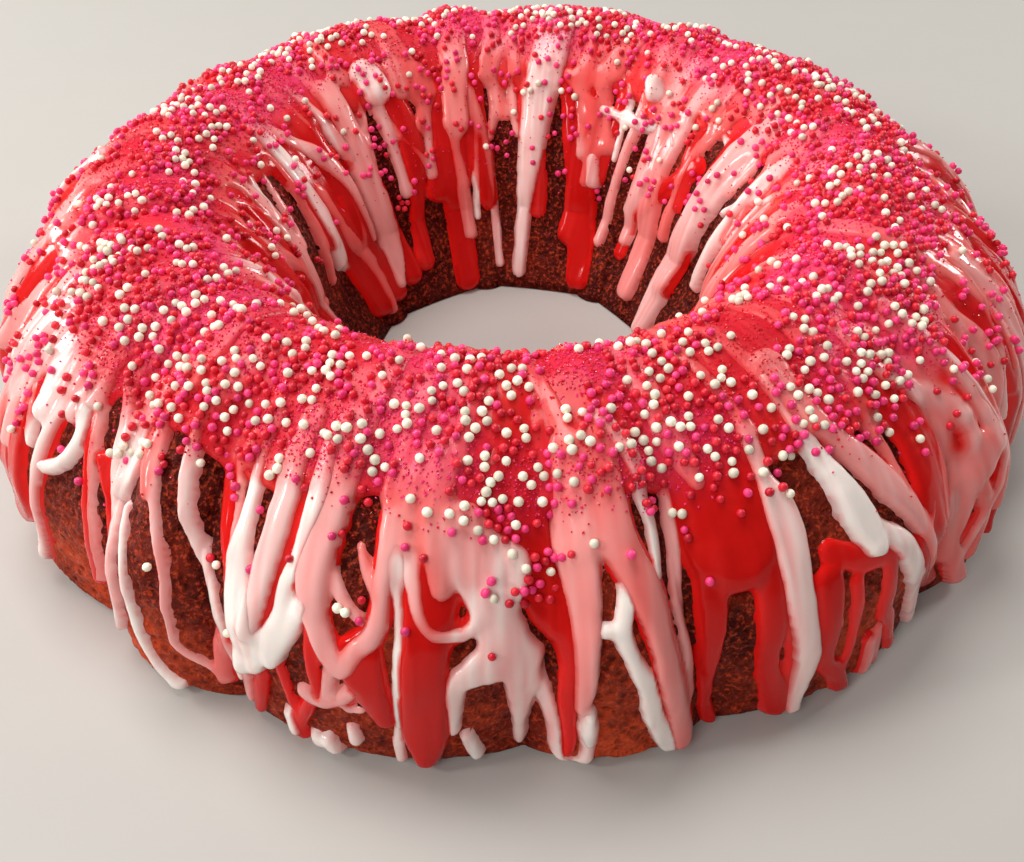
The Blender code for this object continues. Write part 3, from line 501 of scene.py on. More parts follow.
RADIUS, SECTION_HEIGHT, LENGTH = mean_section()
CROWN_LENGTH = float(LENGTH[np.argmax(SECTION_HEIGHT)])
SECTION_LENGTH = float(LENGTH[-1])
EIGHTH = 360.0 / EIGHTHS
ROW_STEP = SECTION_LENGTH / (RASTER_ROWS - 1) / MM
COLUMN_STEP = 360.0 / RASTER_COLUMNS
ROW_LENGTHS = np.arange(RASTER_ROWS) * ROW_STEP
ROW_RADII = np.interp(ROW_LENGTHS * MM, LENGTH, RADIUS) / MM


def smooth(value):
    """An even step from 0 to 1."""
    value = np.clip(value, 0.0, 1.0)
    return value * value * (3.0 - 2.0 * value)


def flute(azimuth, length):
    """How far the flutes move the wall out from the mean section, crests positive."""
    half = RIB_HALF_FOOT + (RIB_HALF_TOP - RIB_HALF_FOOT) * smooth(length / RIB_NARROWS_BY)
    within = (azimuth - RIB_CENTRE + half) % EIGHTH
    rib = 2.0 * half
    share = np.where(within < rib, within / rib, (within - rib) / (EIGHTH - rib))
    from_crown = (CROWN_LENGTH - length) / CROWN_LENGTH
    depth = FLUTE_CROWN + (FLUTE_WALL - FLUTE_CROWN) * smooth(FLUTE_FADE * from_crown)
    return depth * (np.sin(math.pi * np.clip(share, 0.0, 1.0)) ** FLUTE_POWER - FLUTE_MEAN)


def surface(azimuth, length, out=0.0):
    """Points of the cake's surface, moved out along its normal, as an array of (x, y, z)."""
    radius = np.interp(length, LENGTH, RADIUS)
    height = np.interp(length, LENGTH, SECTION_HEIGHT)
    ahead = np.minimum(SECTION_LENGTH, length + SLOPE_REACH)
    behind = np.maximum(0.0, length - SLOPE_REACH)
    run = np.interp(ahead, LENGTH, RADIUS) - np.interp(behind, LENGTH, RADIUS)
    rise = np.interp(ahead, LENGTH, SECTION_HEIGHT) - np.interp(behind, LENGTH, SECTION_HEIGHT)
    span = np.hypot(run, rise)
    move = out + flute(azimuth, length)
    radius = radius + rise / span * move
    height = height - run / span * move * smooth(height / LEVEL_BELOW)
    turn = np.radians(azimuth)
    return np.stack([radius * np.sin(turn), -radius * np.cos(turn), height], axis=-1)


# Numbers that mix the cells of the noise into one another
CELL_FACTORS = (73856093, 19349663, 83492791)
SEED_FACTOR = 668265263
WORD = 0xFFFFFFFF
MIXERS = ((15, 1274126177), (13, 2246822519))


def lattice_noise(points, size, seed):
    """Smooth noise from -1 to 1 at points, with lumps of about the given size."""
    grid = np.asarray(points) / size
    cell = np.floor(grid).astype(np.int64)
    part = smooth(grid - cell)
    total = np.zeros(grid.shape[:-1])
    for corner in itertools.product((0, 1), repeat=3):
        mixed = seed * SEED_FACTOR
        for i, factor in enumerate(CELL_FACTORS):
            mixed = mixed ^ (cell[..., i] + corner[i]) * factor
        mixed = mixed & WORD
        for shift, factor in MIXERS:
            mixed = mixed * factor & WORD
            mixed = mixed ^ (mixed >> shift)
        value = mixed / (WORD / 2) - 1.0
        weight = np.ones(grid.shape[:-1])
        for i in range(3):
            weight = weight * (part[..., i] if corner[i] else 1.0 - part[..., i])
        total += value * weight
    return total


def layered_noise(points, layers):
    """A sum of noises, each given as (strength, size of its lumps, seed)."""
    return sum(strength * lattice_noise(points, size, seed) for strength, size, seed in layers)


def raster_places():
    """Azimuths and lengths of the raster's cells, in degrees and metres."""
    return np.meshgrid(np.arange(RASTER_COLUMNS) * COLUMN_STEP, ROW_LENGTHS * MM)


def read_raster(field, azimuth, length):
    """Values of a raster field between its cells."""
    column = np.asarray(azimuth) % 360.0 / COLUMN_STEP
    row = np.clip(np.asarray(length) / MM / ROW_STEP, 0.0, RASTER_ROWS - 1.001)
    left = np.floor(column).astype(int)
    low = np.floor(row).astype(int)
    across = column - left
    up = row - low
    left %= RASTER_COLUMNS
    right = (left + 1) % RASTER_COLUMNS
    below = field[low, left] * (1 - across) + field[low, right] * across
    above = field[low + 1, left] * (1 - across) + field[low + 1, right] * across
    return below * (1 - up) + above * up


def blurred(field, passes):
    """A raster field with its steps softened."""
    for _ in range(passes):
        field = (np.roll(field, 1, 1) + 2 * field + np.roll(field, -1, 1)) / 4
        padded = np.pad(field, ((1, 1), (0, 0)), mode="edge")
        field = (padded[:-2] + 2 * field + padded[2:]) / 4
    return field


# Streams: mm in a degree for spacing their points and their drops, reach past the edge, and drops
ROUTE_DEGREE = 1.6
ROUTE_STEP = 2.0
DROP_DEGREE = 1.8
STREAM_REACH = 4.5
DROP_SWELL = 0.35
DROP_LENGTH = 4.0
FULL_WIDTH = 5.0
NEARLY_NONE = 1e-9
NO_ICING = 1e-12


def smooth_route(places):
    """Points a short step apart along a smooth curve through (azimuth, length, width) places."""
    knots = np.array([places[0]] + list(places) + [places[-1]], float)
    fine = []
    for k in range(1, len(knots) - 2):
        before, start, end, after = knots[k - 1:k + 3]
        count = max(2, math.ceil(np.hypot(*(end - start)[:2] * (ROUTE_DEGREE, 1.0)) / ROUTE_STEP))
        for t in np.arange(count) / count:
            fine.append(0.5 * (2 * start + (end - before) * t
                               + (2 * before - 5 * start + 4 * end - after) * t * t
                               + (3 * start - before - 3 * end + after) * t * t * t))
    fine.append(knots[-1])
    return np.array(fine)


class Pour:
    """One colour of icing, as fields over the raster: how far inside, how thick and of what tint."""

    def __init__(self, merge):
        self.merge = merge
        self.total = np.zeros((RASTER_ROWS, RASTER_COLUMNS))
        self.thick = np.zeros_like(self.total)
        self.tinted = np.zeros_like(self.total)

    def add(self, tint, thickness, places, tip=DROP_SWELL):
        """Adds one stream, with a fuller drop at its foot."""
        route = smooth_route(places)
        gaps = np.hypot(np.diff(route[:, 0]) * DROP_DEGREE, np.diff(route[:, 1]))
        left = np.concatenate([np.cumsum(gaps[::-1])[::-1], [0.0]])
        field = np.full(self.total.shape, NOTHING)
        full = np.zeros_like(field)
        for start, end, ahead in zip(route[:-1], route[1:], left[:-1]):
            room = 0.5 * max(start[2], end[2]) + STREAM_REACH
            low = max(0, int((min(start[1], end[1]) - room) / ROW_STEP))
            high = min(RASTER_ROWS, int((max(start[1], end[1]) + room) / ROW_STEP) + 2)
            if high <= low:
                continue
            rows = np.arange(low, high)
            radii = ROW_RADII[rows]
            spread = math.degrees(room / radii.min())
            first = math.floor((min(start[0], end[0]) - spread) / COLUMN_STEP)
            last = math.ceil((max(start[0], end[0]) + spread) / COLUMN_STEP)
            columns = np.arange(first, last + 1)
            scale = np.radians(radii)[:, None]
            from_x = (start[0] - columns * COLUMN_STEP)[None, :] * scale
            to_x = (end[0] - columns * COLUMN_STEP)[None, :] * scale
            from_y = (start[1] - ROW_LENGTHS[rows])[:, None]
            run_x = to_x - from_x
            run_y = end[1] - start[1]
            along = -(from_x * run_x + from_y * run_y) / (run_x ** 2 + run_y ** 2 + NEARLY_NONE)
            along = np.clip(along, 0.0, 1.0)
            away = (from_x + along * run_x) ** 2 + (from_y + along * run_y) ** 2
            width = start[2] + (end[2] - start[2]) * along
            value = width / 4.0 - away / width
            window = np.ix_(rows, columns % RASTER_COLUMNS)
            better = value > field[window]
            swell = 1.0 + tip * math.exp(-ahead / DROP_LENGTH)
            height = thickness * swell * np.minimum(1.0, width / FULL_WIDTH) ** 0.5
            field[window] = np.where(better, value, field[window])
            full[window] = np.where(better, height, full[window])
        weight = np.where(field > NOTHING, np.exp(field / self.merge), 0.0)
        self.total += weight
        self.thick += weight * full
        self.tinted += weight * tint

    def fields(self):
        """Depth inside the outline in mm, thickness factor and tint."""
        total = np.maximum(self.total, NO_ICING)
        inside = np.where(self.total > NO_ICING, self.merge * np.log(total), NOTHING)
        return inside, self.thick / total, self.tinted / total


def rooted(places):
    """A front stream's places, begun higher up where its top would show against the crown's icing."""
    azimuth, length, width = places[0]
    if ROOT_FROM <= length <= ROOT_TO:
        return [(azimuth, length + ROOT_RISE, width)] + places
    return places


def fringe(places, draw):
    """The places of a thin red stream that runs out from under a pink one."""
    drift = draw.uniform(-FRINGE_DRIFT, FRINGE_DRIFT)
    return [(azimuth + drift, length, width + FRINGE_WIDTH) for azimuth, length, width in places]


def rule_streams(rule, draw):
    """The streams of the solid's rule, as (colour, thickness factor, places)."""
    azimuth = rule["first"]
    while azimuth < rule["last"]:
        lean = draw.uniform(-RULE_LEAN, RULE_LEAN) * rule["step"]
        foot = draw.uniform(*rule["foot"])
        width = draw.uniform(*rule["width"])
        top = rule["top"]
        places = [
            (azimuth, top, width),
            (azimuth + RULE_MIDDLE_LEAN * lean, 0.5 * (top + foot), RULE_MIDDLE_WIDTH * width),
            (azimuth + lean, foot, RULE_FOOT_WIDTH * width),
        ]
        yield draw.choice(RULE_COLOURS), draw.uniform(*RULE_THICKNESS), places
        azimuth += rule["step"] * draw.uniform(*RULE_STRIDE)


def solid_draws():
    """The solid's rule streams and its sprinkles' azimuths, from the same draws as the solid's."""
    draw = random.Random(SOLID_SEED)
    streams = []
    for rule in RULE_STREAMS:
        streams += list(rule_streams(rule, draw))
    azimuths = []
    for k in range(SPRINKLE_COUNT):
        azimuths.append(k * GOLDEN_TURN + draw.uniform(-SPRINKLE_DRIFT, SPRINKLE_DRIFT))
    return streams, azimuths


def fine_streams(draw):
    """Thinner streams between the solid's, over the crown and in the hole."""
    for colour, (first, last), step, top, foot, width, tint, thickness in FINE_RULES:
        azimuth = first + draw.uniform(0.0, step)
        while azimuth < last:
            start = draw.uniform(*top)
            end = draw.uniform(*foot)
            wide = draw.uniform(*width)
            lean = draw.uniform(-FINE_LEAN, FINE_LEAN) * step
            bend = draw.uniform(-FINE_BEND, FINE_BEND) * step
            upper = azimuth + FINE_UPPER * lean + bend
            lower = azimuth + FINE_LOWER * lean + 0.5 * bend
            places = [
                (azimuth, start, wide),
                (upper, start + FINE_UPPER * (end - start), wide * draw.uniform(*FINE_UPPER_WIDTH)),
                (lower, start + FINE_LOWER * (end - start), wide * draw.uniform(*FINE_LOWER_WIDTH)),
                (azimuth + lean, end, wide * draw.uniform(*FINE_FOOT_WIDTH)),
            ]
            yield colour, draw.uniform(*tint), draw.uniform(*thickness), places
            azimuth += step * draw.uniform(*FINE_STRIDE)


COLOURS = ("red", "pink", "white")
CROWN_TINT = 0.12
CROWN_THICKNESS = 0.8
FRINGE_TINT = 0.06

# Streaks along the streams: strength, waves round the ring, mm of one wave along it, and seed
STREAKS = ((1.0, 80.0, 14.0, 21), (0.6, 150.0, 9.0, 22))
STREAK_RELIEF = 0.06
STREAK_TINT = 0.07

# Noises as (strength, size, seed); outlines waver in mm, thickness by its share
EDGE_WAVER = ((0.24, 0.0050, 23), (0.12, 0.0021, 24))
ICING_LUMPS = ((0.16, 0.0075, 25),)

# Cross section of a stream, in mm, and how it lies on and lets through what is below
DOME_LOW = 0.92
DOME_RISE = 0.30
DOME_FROM = 0.4
DOME_WIDTH = 3.0
BED_SHARE = 0.5
BED_PASSES = 3
COVER_DEPTH = 0.32
BARE_TINT = 0.85
DEEP_ENOUGH = 1.2


def pour_all(merge):
    """Every stream of the three colours, poured."""
    pours = {colour: Pour(merge / MM) for colour in COLOURS}
    draw = random.Random(FINE_SEED)
    for length, width in CROWN_BANDS:
        ring = [
            (azimuth, length + draw.uniform(-CROWN_WANDER, CROWN_WANDER), width)
            for azimuth in np.arange(0.0, 360.0, CROWN_BAND_STEP)
        ]
        pours["red"].add(CROWN_TINT, CROWN_THICKNESS, ring + [(360.0, ring[0][1], width)], tip=0.0)
    fringes = random.Random(FRINGE_SEED)
    for tint, factor, places in RED_STREAMS + HOLE_RED:
        pours["red"].add(tint, factor, places)
    for tint, factor, places in PINK_STREAMS:
        pours["pink"].add(tint, factor, rooted(places))
        if min(width for _, _, width in places) >= FRINGE_FROM:
            pours["red"].add(FRINGE_TINT, FRINGE_THICKNESS, fringe(places, fringes), tip=0.0)
    for tint, factor, places in HOLE_PINK:
        pours["pink"].add(tint, factor, places)
    for tint, factor, places in WHITE_STREAMS:
        pours["white"].add(tint, factor, rooted(places))
    for tint, factor, places in HOLE_WHITE:
        pours["white"].add(tint, factor, places)
    for colour, factor, places in solid_draws()[0]:
        pours[colour].add(draw.uniform(*RULE_TINTS[colour]), factor, places)
    for colour, tint, factor, places in fine_streams(draw):
        pours[colour].add(tint, factor, places)
    return pours


def streaks_over(azimuth, length):
    """Noise drawn out along the streams."""
    turn = np.radians(azimuth)
    streaks = 0.0
    for strength, waves, span, seed in STREAKS:
        places = np.stack([np.cos(turn) * waves, np.sin(turn) * waves, length / MM / span], axis=-1)
        streaks = streaks + strength * lattice_noise(places, 1.0, seed)
    return streaks


@functools.lru_cache(maxsize=1)
def poured_icing(thickness, edge, merge):
    """Raster fields of each colour, with its sheet's height in mm, and the height of the topmost sheet."""
    pours = pour_all(merge)
    azimuth, length = raster_places()
    points = surface(azimuth, length)
    streaks = streaks_over(azimuth, length)
    edge_waver = layered_noise(points, EDGE_WAVER)
    lumps = 1.0 + layered_noise(points, ICING_LUMPS) + STREAK_RELIEF * streaks
    layers = {}
    top = np.zeros(azimuth.shape)
    below_tint = np.zeros(azimuth.shape)
    below_there = np.zeros(azimuth.shape)
    for colour in COLOURS:
        inside, factor, tint = pours[colour].fields()
        inside = np.where(inside > NOTHING, inside + edge_waver, NOTHING)
        share = np.clip(inside / (edge / MM), 0.0, 1.0)
        domed = DOME_LOW + DOME_RISE * smooth((inside - DOME_FROM) / DOME_WIDTH)
        rise = np.sqrt(1.0 - (1.0 - share) ** 2) * domed * factor * (thickness / MM) * lumps
        bed = BED_SHARE * blurred(top, BED_PASSES)
        sheet = np.where(inside > 0, bed + rise, bed + np.maximum(inside, -SKIRT_END) * SKIRT_SLOPE)
        above = np.maximum(sheet - top, 0.0)
        cover = 1.0 - np.exp(-above / COVER_DEPTH)
        own = np.clip(tint + STREAK_TINT * streaks, 0.0, 1.0)
        under = np.where(below_there > 0.5, below_tint, own * BARE_TINT)
        mixed = own * cover + under * (1.0 - cover)
        layers[colour] = {
            "sheet": sheet,
            "inside": inside,
            "tint": mixed,
            "depth": np.clip(above / DEEP_ENOUGH, 0.0, 1.0),
        }
        below_tint = np.where(above > 0, mixed, below_tint)
        below_there = np.maximum(below_there, (above > 0).astype(float))
        top = np.maximum(top, sheet)
    layers["top"] = top
    return layers


# The sprinkled band: its edges and their softness in mm along the section, lower at the front
BAND_LOW = 60.0
BAND_LOW_NOISE = ((4.0, 0.022, 31),)
BAND_LOW_SOFT = 14.0
BAND_HIGH = 93.0
BAND_HIGH_NOISE = ((4.0, 0.025, 32),)
BAND_HIGH_SOFT = 9.0
FRONT_RISE = 3.0
SIDE_RISE = 11.0
SIDE_FROM = 48.0
SIDE_OVER = 22.0
BACK_FROM = 125.0
BACK_OVER = 20.0

# Parts of the ring as (azimuth, half width, power) of a bell
FRONT_BELL = (0.0, 38.0, 4)
NEAR_BELL = (0.0, 50.0, 4)
FRONT_SOAK_BELL = (0.0, 40.0, 2)
RIGHT_BELL = (75.0, 45.0, 2)
ROSE_BELL = (80.0, 60.0, 2)
LEFT_BELL = (-72.0, 42.0, 2)

CLUMP_MEAN = 0.42
CLUMP_RIGHT = 0.34
CLUMP_NOISE = ((0.85, 0.009, 33),)
STRAYS = 0.04
STRAY_LOW = (30.0, 25.0)
STRAY_HIGH = (140.0, 30.0)
SUGAR_LOWER = 2.0
SUGAR_LOW_SOFT = 13.0
SUGAR_HIGHER = 4.0
SUGAR_HIGH_SOFT = 14.0
PINK_SUGAR_MEAN = 0.50
PINK_SUGAR_NOISE = ((1.1, 0.016, 34),)
RED_SUGAR_MEAN = 0.65
RED_SUGAR_NOISE = ((0.9, 0.013, 35),)
DUST_FRONT = 0.62
DUST_FRONT_AT = -8.0
DUST_FRONT_TO = 22.0
DUST_OVER = 30.0
DUST_RED = 0.9
DUST_LEFT = 0.45
SOAK_LEFT = 0.75
SOAK_FRONT = 0.25
ROSE_CONTRAST = 0.8
ROSE_RIGHT = 0.35


def bell(azimuth, centre, width, power):
    """1 at an azimuth, and less the further from it."""
    return np.exp(-((azimuth - centre) / width) ** power)


def edge_step(distance, width):
    """An even step from 0 to 1, as wide as given, about an edge."""
    return smooth(distance / width + 0.5)


@functools.lru_cache(maxsize=1)
def sugar_fields():
    """How densely sprinkles, sugar and its haze lie, from 0 to 1, over the raster."""
    azimuth, length = raster_places()
    points = surface(azimuth, length)
    mm = length / MM
    signed = (azimuth + 180.0) % 360.0 - 180.0
    to_side = smooth((np.abs(signed) - SIDE_FROM) / SIDE_OVER)
    to_back = smooth((np.abs(signed) - BACK_FROM) / BACK_OVER)
    low_edge = BAND_LOW + layered_noise(points, BAND_LOW_NOISE) + FRONT_RISE * bell(signed, *FRONT_BELL)
    low_edge += SIDE_RISE * to_side * (1.0 - to_back)
    high_edge = BAND_HIGH + layered_noise(points, BAND_HIGH_NOISE)
    band = edge_step(mm - low_edge, BAND_LOW_SOFT) * edge_step(high_edge - mm, BAND_HIGH_SOFT)
    clumps = CLUMP_MEAN + CLUMP_RIGHT * bell(signed, *RIGHT_BELL) + layered_noise(points, CLUMP_NOISE)
    behind = 1.0 - bell(signed, *NEAR_BELL)
    above_foot = smooth((mm - STRAY_LOW[0]) / STRAY_LOW[1])
    stray = STRAYS * behind * above_foot * smooth((STRAY_HIGH[0] - mm) / STRAY_HIGH[1])
    sprinkles = np.clip(band * clumps + stray, 0.0, 1.0)
    wide = edge_step(mm - low_edge + SUGAR_LOWER, SUGAR_LOW_SOFT)
    wide = wide * edge_step(high_edge + SUGAR_HIGHER - mm, SUGAR_HIGH_SOFT)
    pink = np.clip(wide * (PINK_SUGAR_MEAN + layered_noise(points, PINK_SUGAR_NOISE)) + stray, 0.0, 1.0)
    red = np.clip(wide * (RED_SUGAR_MEAN + layered_noise(points, RED_SUGAR_NOISE)) + stray, 0.0, 1.0)
    off_front = smooth((np.abs(signed - DUST_FRONT_AT) - DUST_FRONT_TO) / DUST_OVER)
    left = bell(signed, *LEFT_BELL)
    dust = np.maximum(pink, DUST_RED * red) * (DUST_FRONT + (1.0 - DUST_FRONT) * off_front)
    dust = np.clip(dust + DUST_LEFT * wide * left, 0.0, 1.0)
    soak = wide * (SOAK_LEFT * left + SOAK_FRONT * bell(signed, *FRONT_SOAK_BELL))
    rose = smooth(0.5 + ROSE_CONTRAST * (pink - red) + ROSE_RIGHT * bell(signed, *ROSE_BELL))
    return {"sprinkles": sprinkles, "pink": pink, "red": red, "dust": dust, "rose": rose, "soak": soak}


def column_azimuths(count):
    """Azimuths of mesh columns from the back round to the back, closer together at the front."""
    share = np.linspace(0.0, 1.0, count + 1)
    back = (1.0 - FRONT_SHARE) / 2
    return np.interp(share, [0.0, back, 1.0 - back, 1.0], [-180.0, -FRONT_HALF, FRONT_HALF, 180.0])


def deselect():
    """Leaves nothing selected, as operators act on all that is selected."""
    if bpy.context.object and bpy.context.object.mode != "OBJECT":
        bpy.ops.object.mode_set(mode="OBJECT")
    bpy.ops.object.select_all(action="DESELECT")


def set_points(thing, points):
    """Moves the points of a mesh to new places."""
    flat = np.ascontiguousarray(points, np.float32).reshape(-1)
    if len(flat) != 3 * len(thing.data.vertices):
        raise RuntimeError(f"{thing.name} has {len(thing.data.vertices)} points, not {len(flat) // 3}")
    thing.data.vertices.foreach_set("co", flat)
    thing.data.update()


def set_values(mesh, name, values):
    """Stores one value for each point of a mesh, for its material."""
    layer = mesh.attributes.new(name, "FLOAT", "POINT")
    layer.data.foreach_set("value", np.ascontiguousarray(values, np.float32).reshape(-1))


def select_points(mesh, chosen):
    """Selects points of a mesh, for edit mode."""
    mesh.edges.foreach_set("select", np.zeros(len(mesh.edges), bool))
    mesh.polygons.foreach_set("select", np.zeros(len(mesh.polygons), bool))
    mesh.vertices.foreach_set("select", np.ascontiguousarray(chosen, bool))


def stored(mesh, name):
    """The values stored on the points of a mesh."""
    values = np.empty(len(mesh.vertices), np.float32)
    mesh.attributes[name].data.foreach_get("value", values)
    return values


def split_along(thing, values):
    """Splits every quad between the corners with the closer values, so that outlines stay smooth."""
    mesh = thing.data
    corners = np.empty(len(mesh.loops), np.int32)
    mesh.loops.foreach_get("vertex_index", corners)
    held = values[corners.reshape(-1, 4)]
    first = np.abs(held[:, 0] - held[:, 2]) <= np.abs(held[:, 1] - held[:, 3])
    bpy.context.tool_settings.mesh_select_mode = (False, False, True)
    mesh.vertices.foreach_set("select", np.zeros(len(mesh.vertices), bool))
    mesh.edges.foreach_set("select", np.zeros(len(mesh.edges), bool))
    mesh.polygons.foreach_set("select", first)
    bpy.ops.object.mode_set(mode="EDIT")
    bpy.ops.mesh.quads_convert_to_tris(quad_method="FIXED")
    bpy.ops.mesh.select_all(action="DESELECT")
    bpy.ops.mesh.select_face_by_sides(number=4)
    bpy.ops.mesh.quads_convert_to_tris(quad_method="FIXED_ALTERNATE")
    bpy.ops.object.mode_set(mode="OBJECT")


def close_seams(thing):
    """Joins the points that meet where a grid closes on itself."""
    bpy.ops.object.mode_set(mode="EDIT")
    bpy.ops.mesh.select_mode(type="VERT")
    bpy.ops.mesh.select_all(action="SELECT")
    bpy.ops.mesh.remove_doubles(threshold=WELD)
    bpy.ops.object.mode_set(mode="OBJECT")


def finish_piece(thing, name, finish):
    """Names a piece, gives it its material, and ties it to the frame."""
    thing.name = name
    thing.data.name = name
    thing.data.materials.clear()
    thing.data.materials.append(finish)
    thing.data.shade_smooth()
    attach(thing, BODY)
    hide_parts(NODE)


class Finish:
    """A procedural material, built node by node."""

    def __init__(self, name):
        self.material = bpy.data.materials.new(name)
        self.material.use_nodes = True
        self.tree = self.material.node_tree
        self.shader = self.tree.nodes["Principled BSDF"]
        self.place = self.tree.nodes.new("ShaderNodeTexCoord").outputs["Object"]

    def link(self, source, target):
        """Joins an output to an input."""
        self.tree.links.new(source, target)

    def value(self, name):
        """A value stored on the mesh."""
        node = self.tree.nodes.new("ShaderNodeAttribute")
        node.attribute_name = name
        return node.outputs["Fac"]

    def noise(self, size, detail=2.0, rough=0.5):
        """Noise with lumps of about the given size."""
        node = self.tree.nodes.new("ShaderNodeTexNoise")
        node.inputs["Scale"].default_value = 1.0 / size
        node.inputs["Detail"].default_value = detail
        node.inputs["Roughness"].default_value = rough
        self.link(self.place, node.inputs["Vector"])
        return node.outputs["Fac"]

    def cells(self, size, feature="F1"):
        """Distances to scattered points about the given size apart, and each point's colour."""
        node = self.tree.nodes.new("ShaderNodeTexVoronoi")
        node.feature = feature
        node.inputs["Scale"].default_value = 1.0 / size
        self.link(self.place, node.inputs["Vector"])
        return node.outputs

    def ramp(self, source, stops):
        """A value turned into colours or greys, with stops of (place, colour)."""
        node = self.tree.nodes.new("ShaderNodeValToRGB")
        elements = node.color_ramp.elements
        for k, (place, colour) in enumerate(stops):
            element = elements[k] if k < 2 else elements.new(place)
            element.position = place
            element.color = (*colour, 1.0) if len(colour) == 3 else colour
        self.link(source, node.inputs["Fac"])
        return node.outputs["Color"]

    def grey(self, source, low, high, dark=0.0, light=1.0):
        """A value mapped evenly from one range to another, with its ends held."""
        node = self.tree.nodes.new("ShaderNodeMapRange")
        node.inputs["From Min"].default_value = low
        node.inputs["From Max"].default_value = high
        node.inputs["To Min"].default_value = dark
        node.inputs["To Max"].default_value = light
        self.link(source, node.inputs["Value"])
        return node.outputs["Result"]

    def maths(self, operation, first, second):
        """A sum, product or other reckoning of two values."""
        node = self.tree.nodes.new("ShaderNodeMath")
        node.operation = operation
        for socket, given in zip(node.inputs, (first, second)):
            if isinstance(given, (int, float)):
                socket.default_value = given
            else:
                self.link(given, socket)
        return node.outputs["Value"]

    def mix(self, share, first, second, blend="MIX"):
        """Two colours mixed by a share."""
        node = self.tree.nodes.new("ShaderNodeMix")
        node.data_type = "RGBA"
        node.blend_type = blend
        for socket, given in ((node.inputs[0], share), (node.inputs[6], first), (node.inputs[7], second)):
            if isinstance(given, (int, float)):
                socket.default_value = given
            elif isinstance(given, tuple):
                socket.default_value = (*given, 1.0)
            else:
                self.link(given, socket)
        return node.outputs[2]

    def bump(self, height, distance, strength=1.0):
        """Fine relief on the shader's normal."""
        node = self.tree.nodes.new("ShaderNodeBump")
        node.inputs["Strength"].default_value = strength
        node.inputs["Distance"].default_value = distance
        self.link(height, node.inputs["Height"])
        self.link(node.outputs["Normal"], self.shader.inputs["Normal"])

    def colour(self, source):
        """The shader's base colour."""
        self.link(source, self.shader.inputs["Base Color"])

    def roughness(self, source):
        """The shader's roughness."""
        self.link(source, self.shader.inputs["Roughness"])

    def translucent(self, weight, radius, scale):
        """Light that spreads below the surface."""
        self.shader.inputs["Subsurface Weight"].default_value = weight
        self.shader.inputs["Subsurface Radius"].default_value = radius
        self.shader.inputs["Subsurface Scale"].default_value = scale


# Noises of the finishes: size of the lumps in metres, detail and, for some, roughness
PATCH_NOISE = (0.005, 4.0, 0.6)
GRAIN_NOISE = (0.0010, 3.0, 0.65)
MOIST_NOISE = (0.0016, 2.0)
HAZE_NOISE = (0.0008, 3.0, 0.7)
SHEEN_NOISE = (0.005, 2.0)
RIPPLE_NOISE = (0.0035, 2.0)
PEARL_NOISE = (0.0007, 2.0)
PEARL_SHEEN_NOISE = (0.0006, 2.0)
PEARL_RELIEF_NOISE = (0.0003, 2.0)
FLOOR_NOISE = (0.02, 2.0)

# Distances between the cells of the finishes, in metres
OPEN_CELLS = 0.0026
FINE_CELLS = 0.0011
SUGAR_CELLS = 0.0005

# Ranges of the finishes: values between the first two numbers become values between the last two
PATCH_RANGE = (0.3, 0.7, -0.12, 0.12)
SPECK_RANGE = (0.50, 0.72, 0.0, 0.6)
OPEN_SHADE_RANGE = (0.10, 0.42, 0.35, 1.0)
FINE_SHADE_RANGE = (0.08, 0.4, 0.7, 1.0)
MOIST_RANGE = (0.38, 0.62, 0.38, 0.85)
OPEN_RELIEF_RANGE = (0.0, 0.45, 0.0, 0.9)
FINE_RELIEF_RANGE = (0.0, 0.45, 0.0, 0.4)
DEEP_RANGE = (0.15, 1.0)
PALE_RANGE = (0.0, 0.25)
RIM_RANGE = (0.0, 0.22, 0.45, 0.0)
PICKED_RANGE = (0.80, 0.82)
DOT_RANGE = (0.18, 0.34, 1.0, 0.0)
HAZE_RANGE = (0.33, 0.58, 0.32, 0.95)
PEARL_RANGE = (0.4, 0.7, 0.0, 0.25)
SHEEN_BETWEEN = (0.3, 0.7)

DARK_STOP = 0.18
MIDDLE_STOP = 0.5
LIGHT_STOP = 0.82
SPECK_LIGHTER = 1.45
HOLLOW_SHADE = (0.24, 0.15, 0.12)
SPONGE_SPECULAR = 0.14
GRAIN_RELIEF = 0.8
CRUMB_RELIEF = 0.0007


